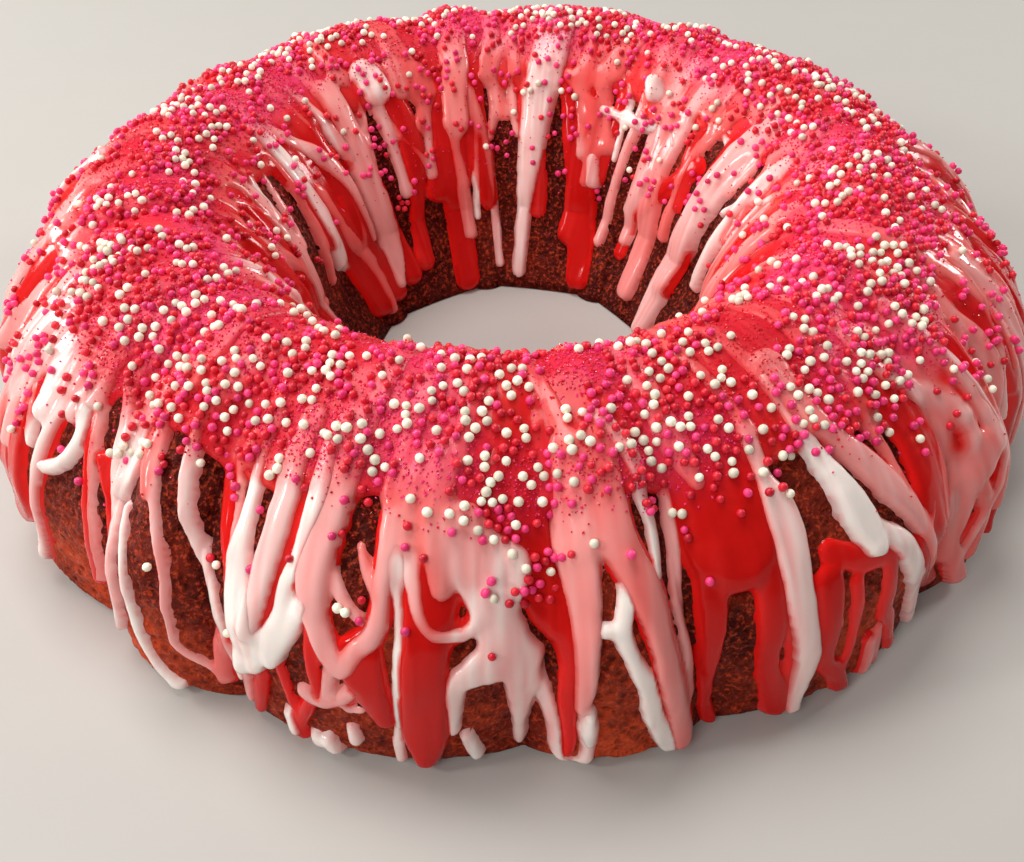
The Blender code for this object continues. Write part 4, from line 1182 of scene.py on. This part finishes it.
def sponge_finish(settings):
    """Baked crumb: golden to dark brown, pitted, moist in places; its ramp also carries painted light on
    crests and foot and painted shade in the hole and the pits.
    """
    finish = Finish("sponge")
    light = tuple(settings.light)
    dark = tuple(settings.dark)
    mid = tuple((a * b) ** 0.5 for a, b in zip(light, dark))
    tone_and_painted_light = finish.maths("ADD", finish.value("bake_and_painted_light"), finish.grey(finish.noise(*PATCH_NOISE), *PATCH_RANGE))
    # From dark crust to light crumb: the crust's uneven bake together with painted light on crests and foot
    # and painted shade in the hole
    base = finish.ramp(tone_and_painted_light, [(DARK_STOP, dark), (LIGHT_STOP, light), (MIDDLE_STOP, mid)])
    grain = finish.noise(*GRAIN_NOISE)
    open_cells = finish.cells(OPEN_CELLS)["Distance"]
    fine_cells = finish.cells(FINE_CELLS)["Distance"]
    specks = tuple(min(1.0, SPECK_LIGHTER * c) for c in light)
    speckled = finish.mix(finish.grey(grain, *SPECK_RANGE), base, specks)
    open_shade = finish.grey(open_cells, *OPEN_SHADE_RANGE)
    hollow = finish.maths("MULTIPLY", open_shade, finish.grey(fine_cells, *FINE_SHADE_RANGE))
    shade = finish.mix(hollow, HOLLOW_SHADE, (1.0, 1.0, 1.0))
    finish.colour(finish.mix(1.0, speckled, shade, "MULTIPLY"))
    finish.roughness(finish.grey(finish.noise(*MOIST_NOISE), *MOIST_RANGE))
    finish.shader.inputs["Specular IOR Level"].default_value = SPONGE_SPECULAR
    relief = finish.maths("MULTIPLY", grain, GRAIN_RELIEF)
    relief = finish.maths("ADD", relief, finish.grey(open_cells, *OPEN_RELIEF_RANGE))
    relief = finish.maths("ADD", relief, finish.grey(fine_cells, *FINE_RELIEF_RANGE))
    finish.bump(relief, CRUMB_RELIEF)
    return finish.material


GLOSS = {"red_icing": 0.22, "pink_icing": 0.32, "white_icing": 0.36}
DEEP_RED = 0.72
THIN_RED = 1.15
SALMON_AT = 0.5
PINK_AT = 0.77
WHITE_AT = 0.93
RIM_SHADE = (0.75, 0.42, 0.36)
CRIMSON_SUGAR = (0.58, 0.010, 0.040)
ROSE_SUGAR = (0.80, 0.055, 0.17)
SHEEN_SHARES = (0.75, 1.3)
HAZE_ROUGHNESS = 0.45
HAZE_RELIEF = 1.2
RIPPLE_RELIEF = 0.00012
RIPPLE_STRENGTH = 0.6
ICING_IOR = 1.49

# Weight, reach by colour and scale of the light that spreads in the icing
ICING_GLOW = (0.35, (1.0, 0.30, 0.22), 0.0022)


def icing_finish(name, settings):
    """Wet sugar icing whose colour runs from red through pink to white, dusted with coloured sugar."""
    finish = Finish(name)
    red = tuple(settings.red)
    deep = tuple(DEEP_RED * c for c in red)
    thin = tuple(min(1.0, c * THIN_RED) for c in red)
    tint = finish.value("tint")
    depth = finish.value("depth")
    dusted = finish.value("dust")
    reds = finish.mix(finish.grey(depth, *DEEP_RANGE), thin, deep)
    pale = finish.ramp(tint, [
        (0.0, red),
        (WHITE_AT, tuple(settings.white)),
        (SALMON_AT, tuple(settings.salmon)),
        (PINK_AT, tuple(settings.pink)),
    ])
    base = finish.mix(finish.grey(tint, *PALE_RANGE), reds, pale)
    rim = finish.grey(depth, *RIM_RANGE)
    base = finish.mix(rim, base, finish.mix(1.0, base, RIM_SHADE, "MULTIPLY"))
    cells = finish.cells(SUGAR_CELLS)
    picked = finish.grey(cells["Color"], *PICKED_RANGE)
    dots = finish.maths("MULTIPLY", picked, finish.grey(cells["Distance"], *DOT_RANGE))
    sugar = finish.mix(finish.value("rose"), CRIMSON_SUGAR, ROSE_SUGAR)
    base = finish.mix(finish.maths("MULTIPLY", dots, dusted), base, sugar)
    haze = finish.maths("MULTIPLY", dusted, finish.grey(finish.noise(*HAZE_NOISE), *HAZE_RANGE))
    finish.colour(finish.mix(haze, base, sugar))
    sheen = [settings.roughness * share for share in SHEEN_SHARES]
    rough = finish.grey(finish.noise(*SHEEN_NOISE), *SHEEN_BETWEEN, *sheen)
    finish.roughness(finish.maths("ADD", rough, finish.maths("MULTIPLY", haze, HAZE_ROUGHNESS)))
    ripples = finish.maths("ADD", finish.noise(*RIPPLE_NOISE), finish.maths("MULTIPLY", haze, HAZE_RELIEF))
    finish.bump(ripples, RIPPLE_RELIEF, RIPPLE_STRENGTH)
    finish.translucent(*ICING_GLOW)
    finish.shader.inputs["IOR"].default_value = ICING_IOR
    finish.shader.inputs["Specular IOR Level"].default_value = GLOSS[name]
    return finish.material


PEARL_LIGHTER = 1.25
PEARL_LIFT = 0.02
PEARL_DARKER = 0.72
PEARL_MIDDLE = 0.45
PEARL_SHEEN_SHARES = (0.8, 1.25)
PEARL_RELIEF = 0.00004
PEARL_STRENGTH = 0.5


def sprinkle_finish(name, colour, roughness):
    """Satin sugar pearls with a little unevenness from one to the next."""
    finish = Finish(name)
    lighter = tuple(min(1.0, PEARL_LIGHTER * c + PEARL_LIFT) for c in colour)
    darker = tuple(PEARL_DARKER * c for c in colour)
    base = finish.ramp(finish.value("shade"), [(0.0, darker), (1.0, lighter), (PEARL_MIDDLE, colour)])
    finish.colour(finish.mix(finish.grey(finish.noise(*PEARL_NOISE), *PEARL_RANGE), base, lighter))
    sheen = [roughness * share for share in PEARL_SHEEN_SHARES]
    finish.roughness(finish.grey(finish.noise(*PEARL_SHEEN_NOISE), *SHEEN_BETWEEN, *sheen))
    finish.bump(finish.noise(*PEARL_RELIEF_NOISE), PEARL_RELIEF, PEARL_STRENGTH)
    return finish.material


# Pits in the crumb: seed, where they lie and what share outside, and their widths in mm
PITS_SEED = 3
PITS_OUTSIDE = (0.5, 62.0)
PITS_OUTSIDE_SHARE = 0.75
PITS_IN_HOLE = (100.0, 165.0)
PITS_IN_HOLE_PART = 4
PIT_SHAPE = 2.2
PIT_SCALE = 0.28
PIT_SMALLEST = 0.35
PIT_LARGEST = 2.2
PIT_FULL = 1.4
PIT_ROWS = 4


def pits_field(count, depth):
    """Open crumb pits, as a depth in mm over the raster."""
    rng = np.random.default_rng(PITS_SEED)
    field = np.zeros((RASTER_ROWS, RASTER_COLUMNS))
    outside = rng.uniform(*PITS_OUTSIDE, int(count * PITS_OUTSIDE_SHARE))
    in_hole = rng.uniform(*PITS_IN_HOLE, count // PITS_IN_HOLE_PART)
    lengths = np.concatenate([outside, in_hole])
    azimuths = rng.uniform(0.0, 360.0, len(lengths))
    widths = rng.gamma(PIT_SHAPE, PIT_SCALE, len(lengths)) + PIT_SMALLEST
    for azimuth, length, width in zip(azimuths, lengths, np.minimum(widths, PIT_LARGEST)):
        row = int(length / ROW_STEP)
        rows = np.arange(max(0, row - PIT_ROWS), min(RASTER_ROWS, row + PIT_ROWS + 1))
        radius = ROW_RADII[row]
        wide = math.ceil(math.degrees(width / radius) / COLUMN_STEP)
        column = round(azimuth / COLUMN_STEP)
        columns = np.arange(column - wide, column + wide + 1)
        x = np.radians(columns * COLUMN_STEP - azimuth) * radius
        y = ROW_LENGTHS[rows] - length
        near = np.clip(1.0 - (x[None, :] ** 2 + y[:, None] ** 2) / (width * width), 0.0, 1.0)
        window = np.ix_(rows, columns % RASTER_COLUMNS)
        field[window] = np.maximum(field[window], near * min(1.0, width / PIT_FULL) * depth / MM)
    return field


# Rows of the sponge's mesh: close on the outside and in the hole, and wide under the icing
SPONGE_OUTSIDE_TO = 0.062
SPONGE_HOLE_FROM = 0.106
SPONGE_ROWS = (72, 18, 25)

# Relief of the crumb, with noises as (strength, size, seed)
CRUMB_GRAIN = ((1.0, 0.0017, 1), (0.6, 0.0034, 2))
CRUMB_GRAIN_SHARE = 0.3
CRUMB_LUMPS = ((0.5, 0.011, 4),)
LUMPS_DEPTH = 0.0003
ENDS_FADE = 0.002

# How well baked the crumb is, from dark to light, with painted light on the flute crests and at the foot and
# painted shade in the hole
BAKE_MEAN = 0.26
BAKE_NOISE = ((0.26, 0.021, 5), (0.14, 0.007, 6))
CREST_PAINTED_LIGHT = 0.30
FOOT_PAINTED_LIGHT = 0.26
FOOT_PAINTED_LIGHT_TO = (0.034, 0.022)
HOLE_PAINTED_SHADE = 0.10
HOLE_PAINTED_SHADE_FROM = (0.085, 0.03)


class CAKE_OT_sponge(bpy.types.Operator):
    """Model the pitted sponge ring"""

    bl_idname = "cake.sponge"
    bl_label = "Sponge"

    def execute(self, context):
        settings = context.scene.cake_sponge
        outside, crown, hole = SPONGE_ROWS
        lengths = np.concatenate([
            np.linspace(0.0, SPONGE_OUTSIDE_TO, outside, endpoint=False),
            np.linspace(SPONGE_OUTSIDE_TO, SPONGE_HOLE_FROM, crown, endpoint=False),
            np.linspace(SPONGE_HOLE_FROM, SECTION_LENGTH, hole),
        ])
        azimuth, length = np.meshgrid(column_azimuths(settings.columns), lengths)
        smooth_wall = surface(azimuth, length)
        pits = read_raster(pits_field(settings.pits, settings.pit_depth), azimuth, length)
        grain = 0.5 + CRUMB_GRAIN_SHARE * layered_noise(smooth_wall, CRUMB_GRAIN)
        lumps = 0.5 + layered_noise(smooth_wall, CRUMB_LUMPS)
        ends = smooth(length / ENDS_FADE) * smooth((SECTION_LENGTH - length) / ENDS_FADE)
        depth = pits * MM + settings.crumb * grain + LUMPS_DEPTH * lumps
        wall = surface(azimuth, length, -depth * ends)
        share = np.linspace(0.0, 1.0, UNDERSIDE_ROWS + 2)[1:, None, None]
        base = wall[-1:] * (1 - share) + wall[:1] * share
        deselect()
        bpy.ops.mesh.primitive_grid_add(
            x_subdivisions=settings.columns, y_subdivisions=len(lengths) + UNDERSIDE_ROWS, size=1.0)
        ring = context.object
        set_points(ring, np.concatenate([wall, base]))
        rib = flute(azimuth, length) / FLUTE_WALL
        foot = smooth((FOOT_PAINTED_LIGHT_TO[0] - length) / FOOT_PAINTED_LIGHT_TO[1])
        in_hole = smooth((length - HOLE_PAINTED_SHADE_FROM[0]) / HOLE_PAINTED_SHADE_FROM[1])
        bake_and_painted_light = BAKE_MEAN + layered_noise(smooth_wall, BAKE_NOISE)
        # Painted light on the flute crests and at the foot, painted shade deep in the hole
        bake_and_painted_light = bake_and_painted_light + CREST_PAINTED_LIGHT * rib + FOOT_PAINTED_LIGHT * foot - HOLE_PAINTED_SHADE * in_hole
        below = np.repeat(bake_and_painted_light[-1:], UNDERSIDE_ROWS + 1, axis=0)
        set_values(ring.data, "bake_and_painted_light", np.concatenate([bake_and_painted_light, below]))
        close_seams(ring)
        finish_piece(ring, "cake_sponge", sponge_finish(settings))
        return {"FINISHED"}


def snapped(azimuth, length, field):
    """Mesh places moved onto the outline where it passes close by, so that edges run smoothly."""
    radius = np.interp(length, LENGTH, RADIUS) / MM
    degree = np.radians(radius)
    across = np.abs(np.gradient(azimuth, axis=1)) * degree
    along = np.abs(np.gradient(length, axis=0)) / MM
    inside = read_raster(field, azimuth, length)
    right = read_raster(field, azimuth + SLOPE_SPAN / degree, length)
    left = read_raster(field, azimuth - SLOPE_SPAN / degree, length)
    up = read_raster(field, azimuth, length + SLOPE_SPAN * MM)
    down = read_raster(field, azimuth, length - SLOPE_SPAN * MM)
    slope_x = (right - left) / (2 * SLOPE_SPAN)
    slope_y = (up - down) / (2 * SLOPE_SPAN)
    steep = slope_x ** 2 + slope_y ** 2
    reach = SNAP * np.maximum(across * np.abs(slope_x), along * np.abs(slope_y))
    flattest, steepest = SNAP_SLOPES
    near = (np.abs(inside) < reach) & (steep > flattest) & (steep < steepest)
    move = np.where(near, -inside / np.maximum(steep, flattest), 0.0)
    moved = np.clip(length + move * slope_y * MM, 0.0, SECTION_LENGTH)
    return azimuth + move * slope_x / degree, moved


def icing_block(azimuths, lengths, layer, last_row_halved=False):
    """A grid laid over the cake as high as an icing's sheet, with the sheet's values on its points."""
    deselect()
    bpy.ops.mesh.primitive_grid_add(
        x_subdivisions=len(azimuths) - 1, y_subdivisions=len(lengths) - 1, size=1.0)
    block = bpy.context.object
    azimuth, length = np.meshgrid(azimuths, lengths)
    if last_row_halved:
        azimuth[-1] = azimuths[np.arange(len(azimuths)) // 2 * 2]
    held = [(edge, azimuth[edge].copy(), length[edge].copy()) for edge in (0, -1)]
    azimuth, length = snapped(azimuth, length, layer["inside"])
    for edge, edge_azimuth, edge_length in held:
        azimuth[edge] = edge_azimuth
        length[edge] = edge_length
    sheet = read_raster(layer["sheet"], azimuth, length)
    inside = read_raster(layer["inside"], azimuth, length)
    turned = [flute(azimuth + shift, length) for shift in CREASE_SPAN]
    crease = np.maximum(0.0, np.mean(turned, axis=0) - flute(azimuth, length))
    filled = crease * np.clip(inside / CREASE_FADE, 0.0, 1.0)
    set_points(block, surface(azimuth, length, sheet * MM + filled))
    set_values(block.data, "inside", inside)
    sugar = sugar_fields()
    soaked = 1.0 - read_raster(sugar["soak"], azimuth, length)
    set_values(block.data, "tint", read_raster(layer["tint"], azimuth, length) * soaked)
    for name, field in (("depth", layer["depth"]), ("dust", sugar["dust"]), ("rose", sugar["rose"])):
        set_values(block.data, name, read_raster(field, azimuth, length))
    return block


def icing_sheet(name, slot, layer, settings, columns):
    """One colour of icing, as a sheet whose edges dip into what it lies on."""
    azimuths = column_azimuths(columns)
    outside = np.arange(0.0, ICING_OUTSIDE_TO, ICING_OUTSIDE_STEP)
    crown = np.linspace(ICING_OUTSIDE_TO, ICING_CROWN_TO, ICING_CROWN_ROWS)
    inner = np.linspace(ICING_CROWN_TO, SECTION_LENGTH, ICING_HOLE_ROWS)
    wall = icing_block(azimuths, np.concatenate([outside, crown]), layer, last_row_halved=True)
    hole = icing_block(azimuths[::2], inner, layer)
    deselect()
    hole.select_set(True)
    wall.select_set(True)
    bpy.context.view_layer.objects.active = wall
    bpy.ops.object.join()
    select_points(wall.data, stored(wall.data, "inside") < -SKIRT_KEPT)
    bpy.ops.object.mode_set(mode="EDIT")
    bpy.ops.mesh.select_mode(type="VERT")
    bpy.ops.mesh.delete(type="VERT")
    bpy.ops.object.mode_set(mode="OBJECT")
    split_along(wall, stored(wall.data, "inside"))
    close_seams(wall)
    finish_piece(wall, name, icing_finish(slot, settings))


class CAKE_OT_icing(bpy.types.Operator):
    """Pour the red, pink and white icing"""

    bl_idname = "cake.icing"
    bl_label = "Icing"

    def execute(self, context):
        settings = context.scene.cake_icing
        layers = poured_icing(settings.thickness, settings.edge, settings.merge)
        for colour, columns in ICING_COLUMNS.items():
            icing_sheet(f"icing_{colour}", f"{colour}_icing", layers[colour], settings, columns)
        return {"FINISHED"}


def base_shape(subdivisions):
    """Points and triangles of a small ball of radius 1."""
    deselect()
    bpy.ops.mesh.primitive_ico_sphere_add(subdivisions=subdivisions, radius=1.0)
    ball = bpy.context.object
    points = np.array([vertex.co[:] for vertex in ball.data.vertices])
    faces = np.array([face.vertices[:] for face in ball.data.polygons])
    bpy.data.objects.remove(ball)
    return points, faces


def octahedron():
    """Points and triangles of a sugar grain of radius 1."""
    points = np.array([(1, 0, 0), (-1, 0, 0), (0, 1, 0), (0, -1, 0), (0, 0, 1), (0, 0, -1)], float)
    faces = np.array([(0, 2, 4), (2, 1, 4), (1, 3, 4), (3, 0, 4), (2, 0, 5), (1, 2, 5), (3, 1, 5), (0, 3, 5)])
    return points, faces


def random_turns(rng, count):
    """Random rotation matrices."""
    q = rng.normal(size=(count, 4))
    w, x, y, z = (q / np.linalg.norm(q, axis=1, keepdims=True)).T
    return np.stack([
        np.stack([1 - 2 * (y * y + z * z), 2 * (x * y - z * w), 2 * (x * z + y * w)], axis=-1),
        np.stack([2 * (x * y + z * w), 1 - 2 * (x * x + z * z), 2 * (y * z - x * w)], axis=-1),
        np.stack([2 * (x * z - y * w), 2 * (y * z + x * w), 1 - 2 * (x * x + y * y)], axis=-1),
    ], axis=1)


# Sprinkles: seed, spread of the radius, rest on the icing, roundness, and how they chain up
SPRINKLES_SEED = 5
TRAY_CELL = 2.5
CLOSENESS = 0.93
RADIUS_SPREAD = (0.90, 1.08)
SPRINKLE_REST = 0.78
SPRINKLE_FORM = (0.94, 1.06)
SPRINKLE_ROUGHNESS = 0.38
CHAINS = {"white": 0.30, "red": 0.40, "pink": 0.40}
CHAIN_STRIDE = (2.0, 3.0)
NUDGE_ACROSS = 0.5
CANDIDATE_BATCH = 20000
CANDIDATE_LENGTHS = (0.030, 0.150)
CANDIDATES_FOR_EACH = 4
BALL_SUBDIVISIONS = 2

# Sugar grains
SUGAR_SEED = 8
GRAIN_SPREAD = (0.6, 1.25)
GRAIN_REST = 0.5
GRAIN_FORM = (0.75, 1.2)
GRAIN_ROUGHNESS = 0.22


def scattered(name, base, centres, sizes, rng):
    """One mesh of many small shapes, each turned its own way."""
    points, faces = base
    count = len(centres)
    turns = random_turns(rng, count)
    placed = np.einsum("nij,npj->npi", turns, points[None] * sizes[:, None, :]) + centres[:, None, :]
    corners = (faces[None] + len(points) * np.arange(count)[:, None, None]).reshape(-1, 3)
    mesh = bpy.data.meshes.new(name)
    mesh.vertices.add(count * len(points))
    mesh.vertices.foreach_set("co", np.ascontiguousarray(placed, np.float32).reshape(-1))
    mesh.loops.add(corners.size)
    mesh.loops.foreach_set("vertex_index", np.ascontiguousarray(corners, np.int32).reshape(-1))
    mesh.polygons.add(len(corners))
    mesh.polygons.foreach_set("loop_start", np.arange(0, corners.size, 3, dtype=np.int32))
    mesh.update(calc_edges=True)
    mesh.validate()
    set_values(mesh, "shade", np.repeat(rng.uniform(0.0, 1.0, count), len(points)))
    thing = bpy.data.objects.new(name, mesh)
    bpy.context.scene.collection.objects.link(thing)
    return thing


class Tray:
    """Places already taken, so that sprinkles lie beside and not in one another."""

    def __init__(self, cell):
        self.cell = cell
        self.taken = {}

    def free(self, point, radius):
        """Whether a ball fits here."""
        home = tuple(int(c // self.cell) for c in point)
        for step in itertools.product((-1, 0, 1), repeat=3):
            for x, y, z, other in self.taken.get(tuple(h + s for h, s in zip(home, step)), ()):
                gap = (point[0] - x) ** 2 + (point[1] - y) ** 2 + (point[2] - z) ** 2
                if gap < (CLOSENESS * (radius + other)) ** 2:
                    return False
        return True

    def take(self, point, radius):
        """Marks a place as taken."""
        home = tuple(int(c // self.cell) for c in point)
        self.taken.setdefault(home, []).append((*point, radius))


def candidates(rng, density, count):
    """Random azimuths and lengths, in degrees and metres, as dense as the raster says."""
    found_azimuth = []
    found_length = []
    total = 0
    while total < count:
        azimuth = rng.uniform(0.0, 360.0, CANDIDATE_BATCH)
        length = rng.uniform(*CANDIDATE_LENGTHS, CANDIDATE_BATCH)
        share = read_raster(density, azimuth, length) * np.interp(length, LENGTH, RADIUS) / FOOT_RADIUS
        kept = rng.uniform(0.0, 1.0, CANDIDATE_BATCH) < share
        found_azimuth.append(azimuth[kept])
        found_length.append(length[kept])
        total += int(kept.sum())
    return np.concatenate(found_azimuth)[:count], np.concatenate(found_length)[:count]


def icing_top(context):
    """Height of the topmost icing over the raster, in mm."""
    icing = context.scene.cake_icing
    return np.maximum(0.0, poured_icing(icing.thickness, icing.edge, icing.merge)["top"])


class CAKE_OT_sprinkles(bpy.types.Operator):
    """Scatter the white, red and pink sprinkles"""

    bl_idname = "cake.sprinkles"
    bl_label = "Sprinkles"

    def execute(self, context):
        settings = context.scene.cake_sprinkles
        top = icing_top(context)
        density = sugar_fields()["sprinkles"]
        rng = np.random.default_rng(SPRINKLES_SEED)
        tray = Tray(TRAY_CELL * settings.large)
        kinds = {
            "white": (settings.white_count, settings.large, tuple(settings.white)),
            "red": (settings.red_count, settings.small, tuple(settings.red)),
            "pink": (settings.pink_count, settings.small, tuple(settings.pink)),
        }
        placed = {kind: [] for kind in kinds}

        def lay(kind, azimuth, length):
            """Puts one sprinkle down if it fits."""
            radius = kinds[kind][1] * rng.uniform(*RADIUS_SPREAD)
            rest = float(read_raster(top, azimuth, length)) * MM + SPRINKLE_REST * radius
            point = surface(azimuth, length, rest)
            if not tray.free(point, radius):
                return False
            tray.take(point, radius)
            placed[kind].append((*point, radius))
            return True

        for k, azimuth in enumerate(solid_draws()[1]):
            share = (k + 0.5) / SPRINKLE_COUNT
            lay("white", azimuth, SPRINKLE_FIRST + (SPRINKLE_LAST - SPRINKLE_FIRST) * share)
        read_off = [("white", *place) for place in WHITE_PLACES]
        read_off += [("pink" if k % 2 else "red", *place) for k, place in enumerate(COLOURED_PLACES)]
        for kind, azimuth, length in read_off:
            for k in range(NUDGES):
                turn = math.radians(k * GOLDEN_TURN)
                shift = NUDGE * math.sqrt(k)
                across = NUDGE_ACROSS * shift * math.cos(turn)
                if lay(kind, azimuth + across, (length + shift * math.sin(turn)) * MM):
                    break
        for kind, (count, radius, _) in kinds.items():
            azimuths, lengths = candidates(rng, density, CANDIDATES_FOR_EACH * count)
            for azimuth, length in zip(azimuths, lengths):
                if len(placed[kind]) >= count:
                    break
                while lay(kind, azimuth, length) and rng.uniform() < CHAINS[kind]:
                    heading = rng.uniform(0.0, 2.0 * math.pi)
                    around = np.interp(length, LENGTH, RADIUS)
                    stride = radius * rng.uniform(*CHAIN_STRIDE)
                    azimuth = azimuth + math.degrees(stride * math.cos(heading) / around)
                    length = length + stride * math.sin(heading)
        ball = base_shape(BALL_SUBDIVISIONS)
        for kind, rows in placed.items():
            rows = np.array(rows)
            sizes = rows[:, 3:4] * rng.uniform(*SPRINKLE_FORM, (len(rows), 3))
            thing = scattered(f"sprinkles_{kind}", ball, rows[:, :3], sizes, rng)
            slot = f"{kind}_sprinkles"
            finish = sprinkle_finish(slot, kinds[kind][2], SPRINKLE_ROUGHNESS)
            finish_piece(thing, f"sprinkles_{kind}", finish)
        return {"FINISHED"}


class CAKE_OT_sugar(bpy.types.Operator):
    """Dust the crown with pink and red sugar"""

    bl_idname = "cake.sugar"
    bl_label = "Sugar"

    def execute(self, context):
        settings = context.scene.cake_sprinkles
        top = icing_top(context)
        rng = np.random.default_rng(SUGAR_SEED)
        grain = octahedron()
        for kind, colour in (("pink", settings.pink), ("red", settings.red)):
            azimuth, length = candidates(rng, sugar_fields()[kind], settings.sugar_count)
            radius = settings.grain * rng.uniform(*GRAIN_SPREAD, len(azimuth))
            rest = read_raster(top, azimuth, length) * MM + GRAIN_REST * radius
            sizes = radius[:, None] * rng.uniform(*GRAIN_FORM, (len(radius), 3))
            thing = scattered(f"sugar_{kind}", grain, surface(azimuth, length, rest), sizes, rng)
            finish = sprinkle_finish(f"sugar_{kind}", tuple(colour), GRAIN_ROUGHNESS)
            finish_piece(thing, f"sugar_{kind}", finish)
            thing.data.shade_flat()
        return {"FINISHED"}


CAMERA_PLACE = (0.0, -0.2577, 0.2018)
CAMERA_AIM = (0.0, 0.7530, -0.6580)
CAMERA_ROLL = -1.093
CAMERA_LENS = 41.97
CAMERA_SENSOR = 36.0
CAMERA_NEAR = 0.01

FLOOR_SIZE = 6.0
FLOOR_HEIGHT = -0.0003
FLOOR_SHADE = 0.97
FLOOR_ROUGHNESS = 0.6
SKY_COLOUR = (1.0, 0.97, 0.94, 1.0)

# Lights that look at the middle of the cake: name, place, size, setting of the power, share of it, colour
LIGHTS_AIM = (0.0, 0.0, 0.03)
LIGHTS = [
    ("key", (-0.30, 0.30, 1.10), 0.70, "key", 1.0, (1.0, 0.975, 0.94)),
    ("left rim", (-0.92, 0.36, 0.36), 0.30, "rim", 1.0, (1.0, 0.98, 0.95)),
    ("right rim", (0.85, 0.48, 0.40), 0.24, "rim", 0.8, (1.0, 0.98, 0.95)),
    ("glint", (-0.80, -0.28, 0.52), 0.14, "rim", 0.45, (1.0, 0.98, 0.95)),
    ("fill", (-0.40, -0.95, 0.80), 0.80, "fill", 1.0, (1.0, 0.97, 0.95)),
]
UNREFLECTED = "fill"


def soft_light(name, place, size, power, colour):
    """A square area light that looks at the middle of the cake."""
    light = bpy.data.lights.new(name, "AREA")
    light.shape = "SQUARE"
    light.size = size
    light.energy = power
    light.color = colour
    lamp = bpy.data.objects.new(name, light)
    bpy.context.scene.collection.objects.link(lamp)
    lamp.location = place
    lamp.rotation_mode = "QUATERNION"
    lamp.rotation_quaternion = (Vector(LIGHTS_AIM) - Vector(place)).to_track_quat("-Z", "Y")
    lamp.visible_glossy = name != UNREFLECTED


class CAKE_OT_stage(bpy.types.Operator):
    """Set up the floor, the lights and the camera"""

    bl_idname = "cake.stage"
    bl_label = "Stage"

    def execute(self, context):
        settings = context.scene.cake_stage
        deselect()
        bpy.ops.mesh.primitive_plane_add(size=FLOOR_SIZE, location=(0.0, 0.0, FLOOR_HEIGHT))
        floor = context.object
        floor.name = "floor"
        finish = Finish("floor")
        colour = tuple(settings.floor)
        finish.colour(finish.mix(finish.noise(*FLOOR_NOISE), colour, tuple(FLOOR_SHADE * c for c in colour)))
        finish.shader.inputs["Roughness"].default_value = FLOOR_ROUGHNESS
        floor.data.materials.append(finish.material)
        for name, place, size, power, share, colour in LIGHTS:
            soft_light(name, place, size, share * getattr(settings, power), colour)
        world = bpy.data.worlds.new("room")
        world.use_nodes = True
        world.node_tree.nodes["Background"].inputs["Color"].default_value = SKY_COLOUR
        world.node_tree.nodes["Background"].inputs["Strength"].default_value = settings.sky
        context.scene.world = world
        lens = bpy.data.cameras.new("camera")
        lens.sensor_fit = "HORIZONTAL"
        lens.sensor_width = CAMERA_SENSOR
        lens.lens = CAMERA_LENS
        lens.clip_start = CAMERA_NEAR
        camera = bpy.data.objects.new("camera", lens)
        context.scene.collection.objects.link(camera)
        camera.location = CAMERA_PLACE
        camera.rotation_mode = "QUATERNION"
        level = Vector(CAMERA_AIM).to_track_quat("-Z", "Y")
        camera.rotation_quaternion = level @ Quaternion((0.0, 0.0, 1.0), math.radians(CAMERA_ROLL))
        context.scene.camera = camera
        context.scene.view_settings.view_transform = "Standard"
        return {"FINISHED"}


class CAKE_PT_panel(bpy.types.Panel):
    """The cake's pieces and their settings"""

    bl_label = "Bundt cake"
    bl_idname = "CAKE_PT_panel"
    bl_space_type = "VIEW_3D"
    bl_region_type = "UI"
    bl_category = "Bundt cake"

    def draw(self, context):
        for operators, group in (
                (("cake.sponge",), context.scene.cake_sponge),
                (("cake.icing",), context.scene.cake_icing),
                (("cake.sprinkles", "cake.sugar"), context.scene.cake_sprinkles),
                (("cake.stage",), context.scene.cake_stage)):
            box = self.layout.box()
            for name in group.__annotations__:
                box.prop(group, name)
            for operator in operators:
                box.operator(operator)


GROUPS = {
    "cake_sponge": SpongeSettings,
    "cake_icing": IcingSettings,
    "cake_sprinkles": SprinkleSettings,
    "cake_stage": StageSettings,
}
CLASSES = (
    *GROUPS.values(),
    CAKE_OT_sponge,
    CAKE_OT_icing,
    CAKE_OT_sprinkles,
    CAKE_OT_sugar,
    CAKE_OT_stage,
    CAKE_PT_panel,
)


def register():
    """Adds the classes and their settings to Blender."""
    for entry in CLASSES:
        bpy.utils.register_class(entry)
    for name, group in GROUPS.items():
        setattr(bpy.types.Scene, name, bpy.props.PointerProperty(type=group))


def unregister():
    """Takes the settings and the classes away again."""
    for name in GROUPS:
        delattr(bpy.types.Scene, name)
    for entry in reversed(CLASSES):
        bpy.utils.unregister_class(entry)


def main():
    """Makes all pieces and the stage."""
    register()
    bpy.ops.cake.sponge()
    bpy.ops.cake.icing()
    bpy.ops.cake.sprinkles()
    bpy.ops.cake.sugar()
    bpy.ops.cake.stage()


if __name__ == "__main__":
    main()
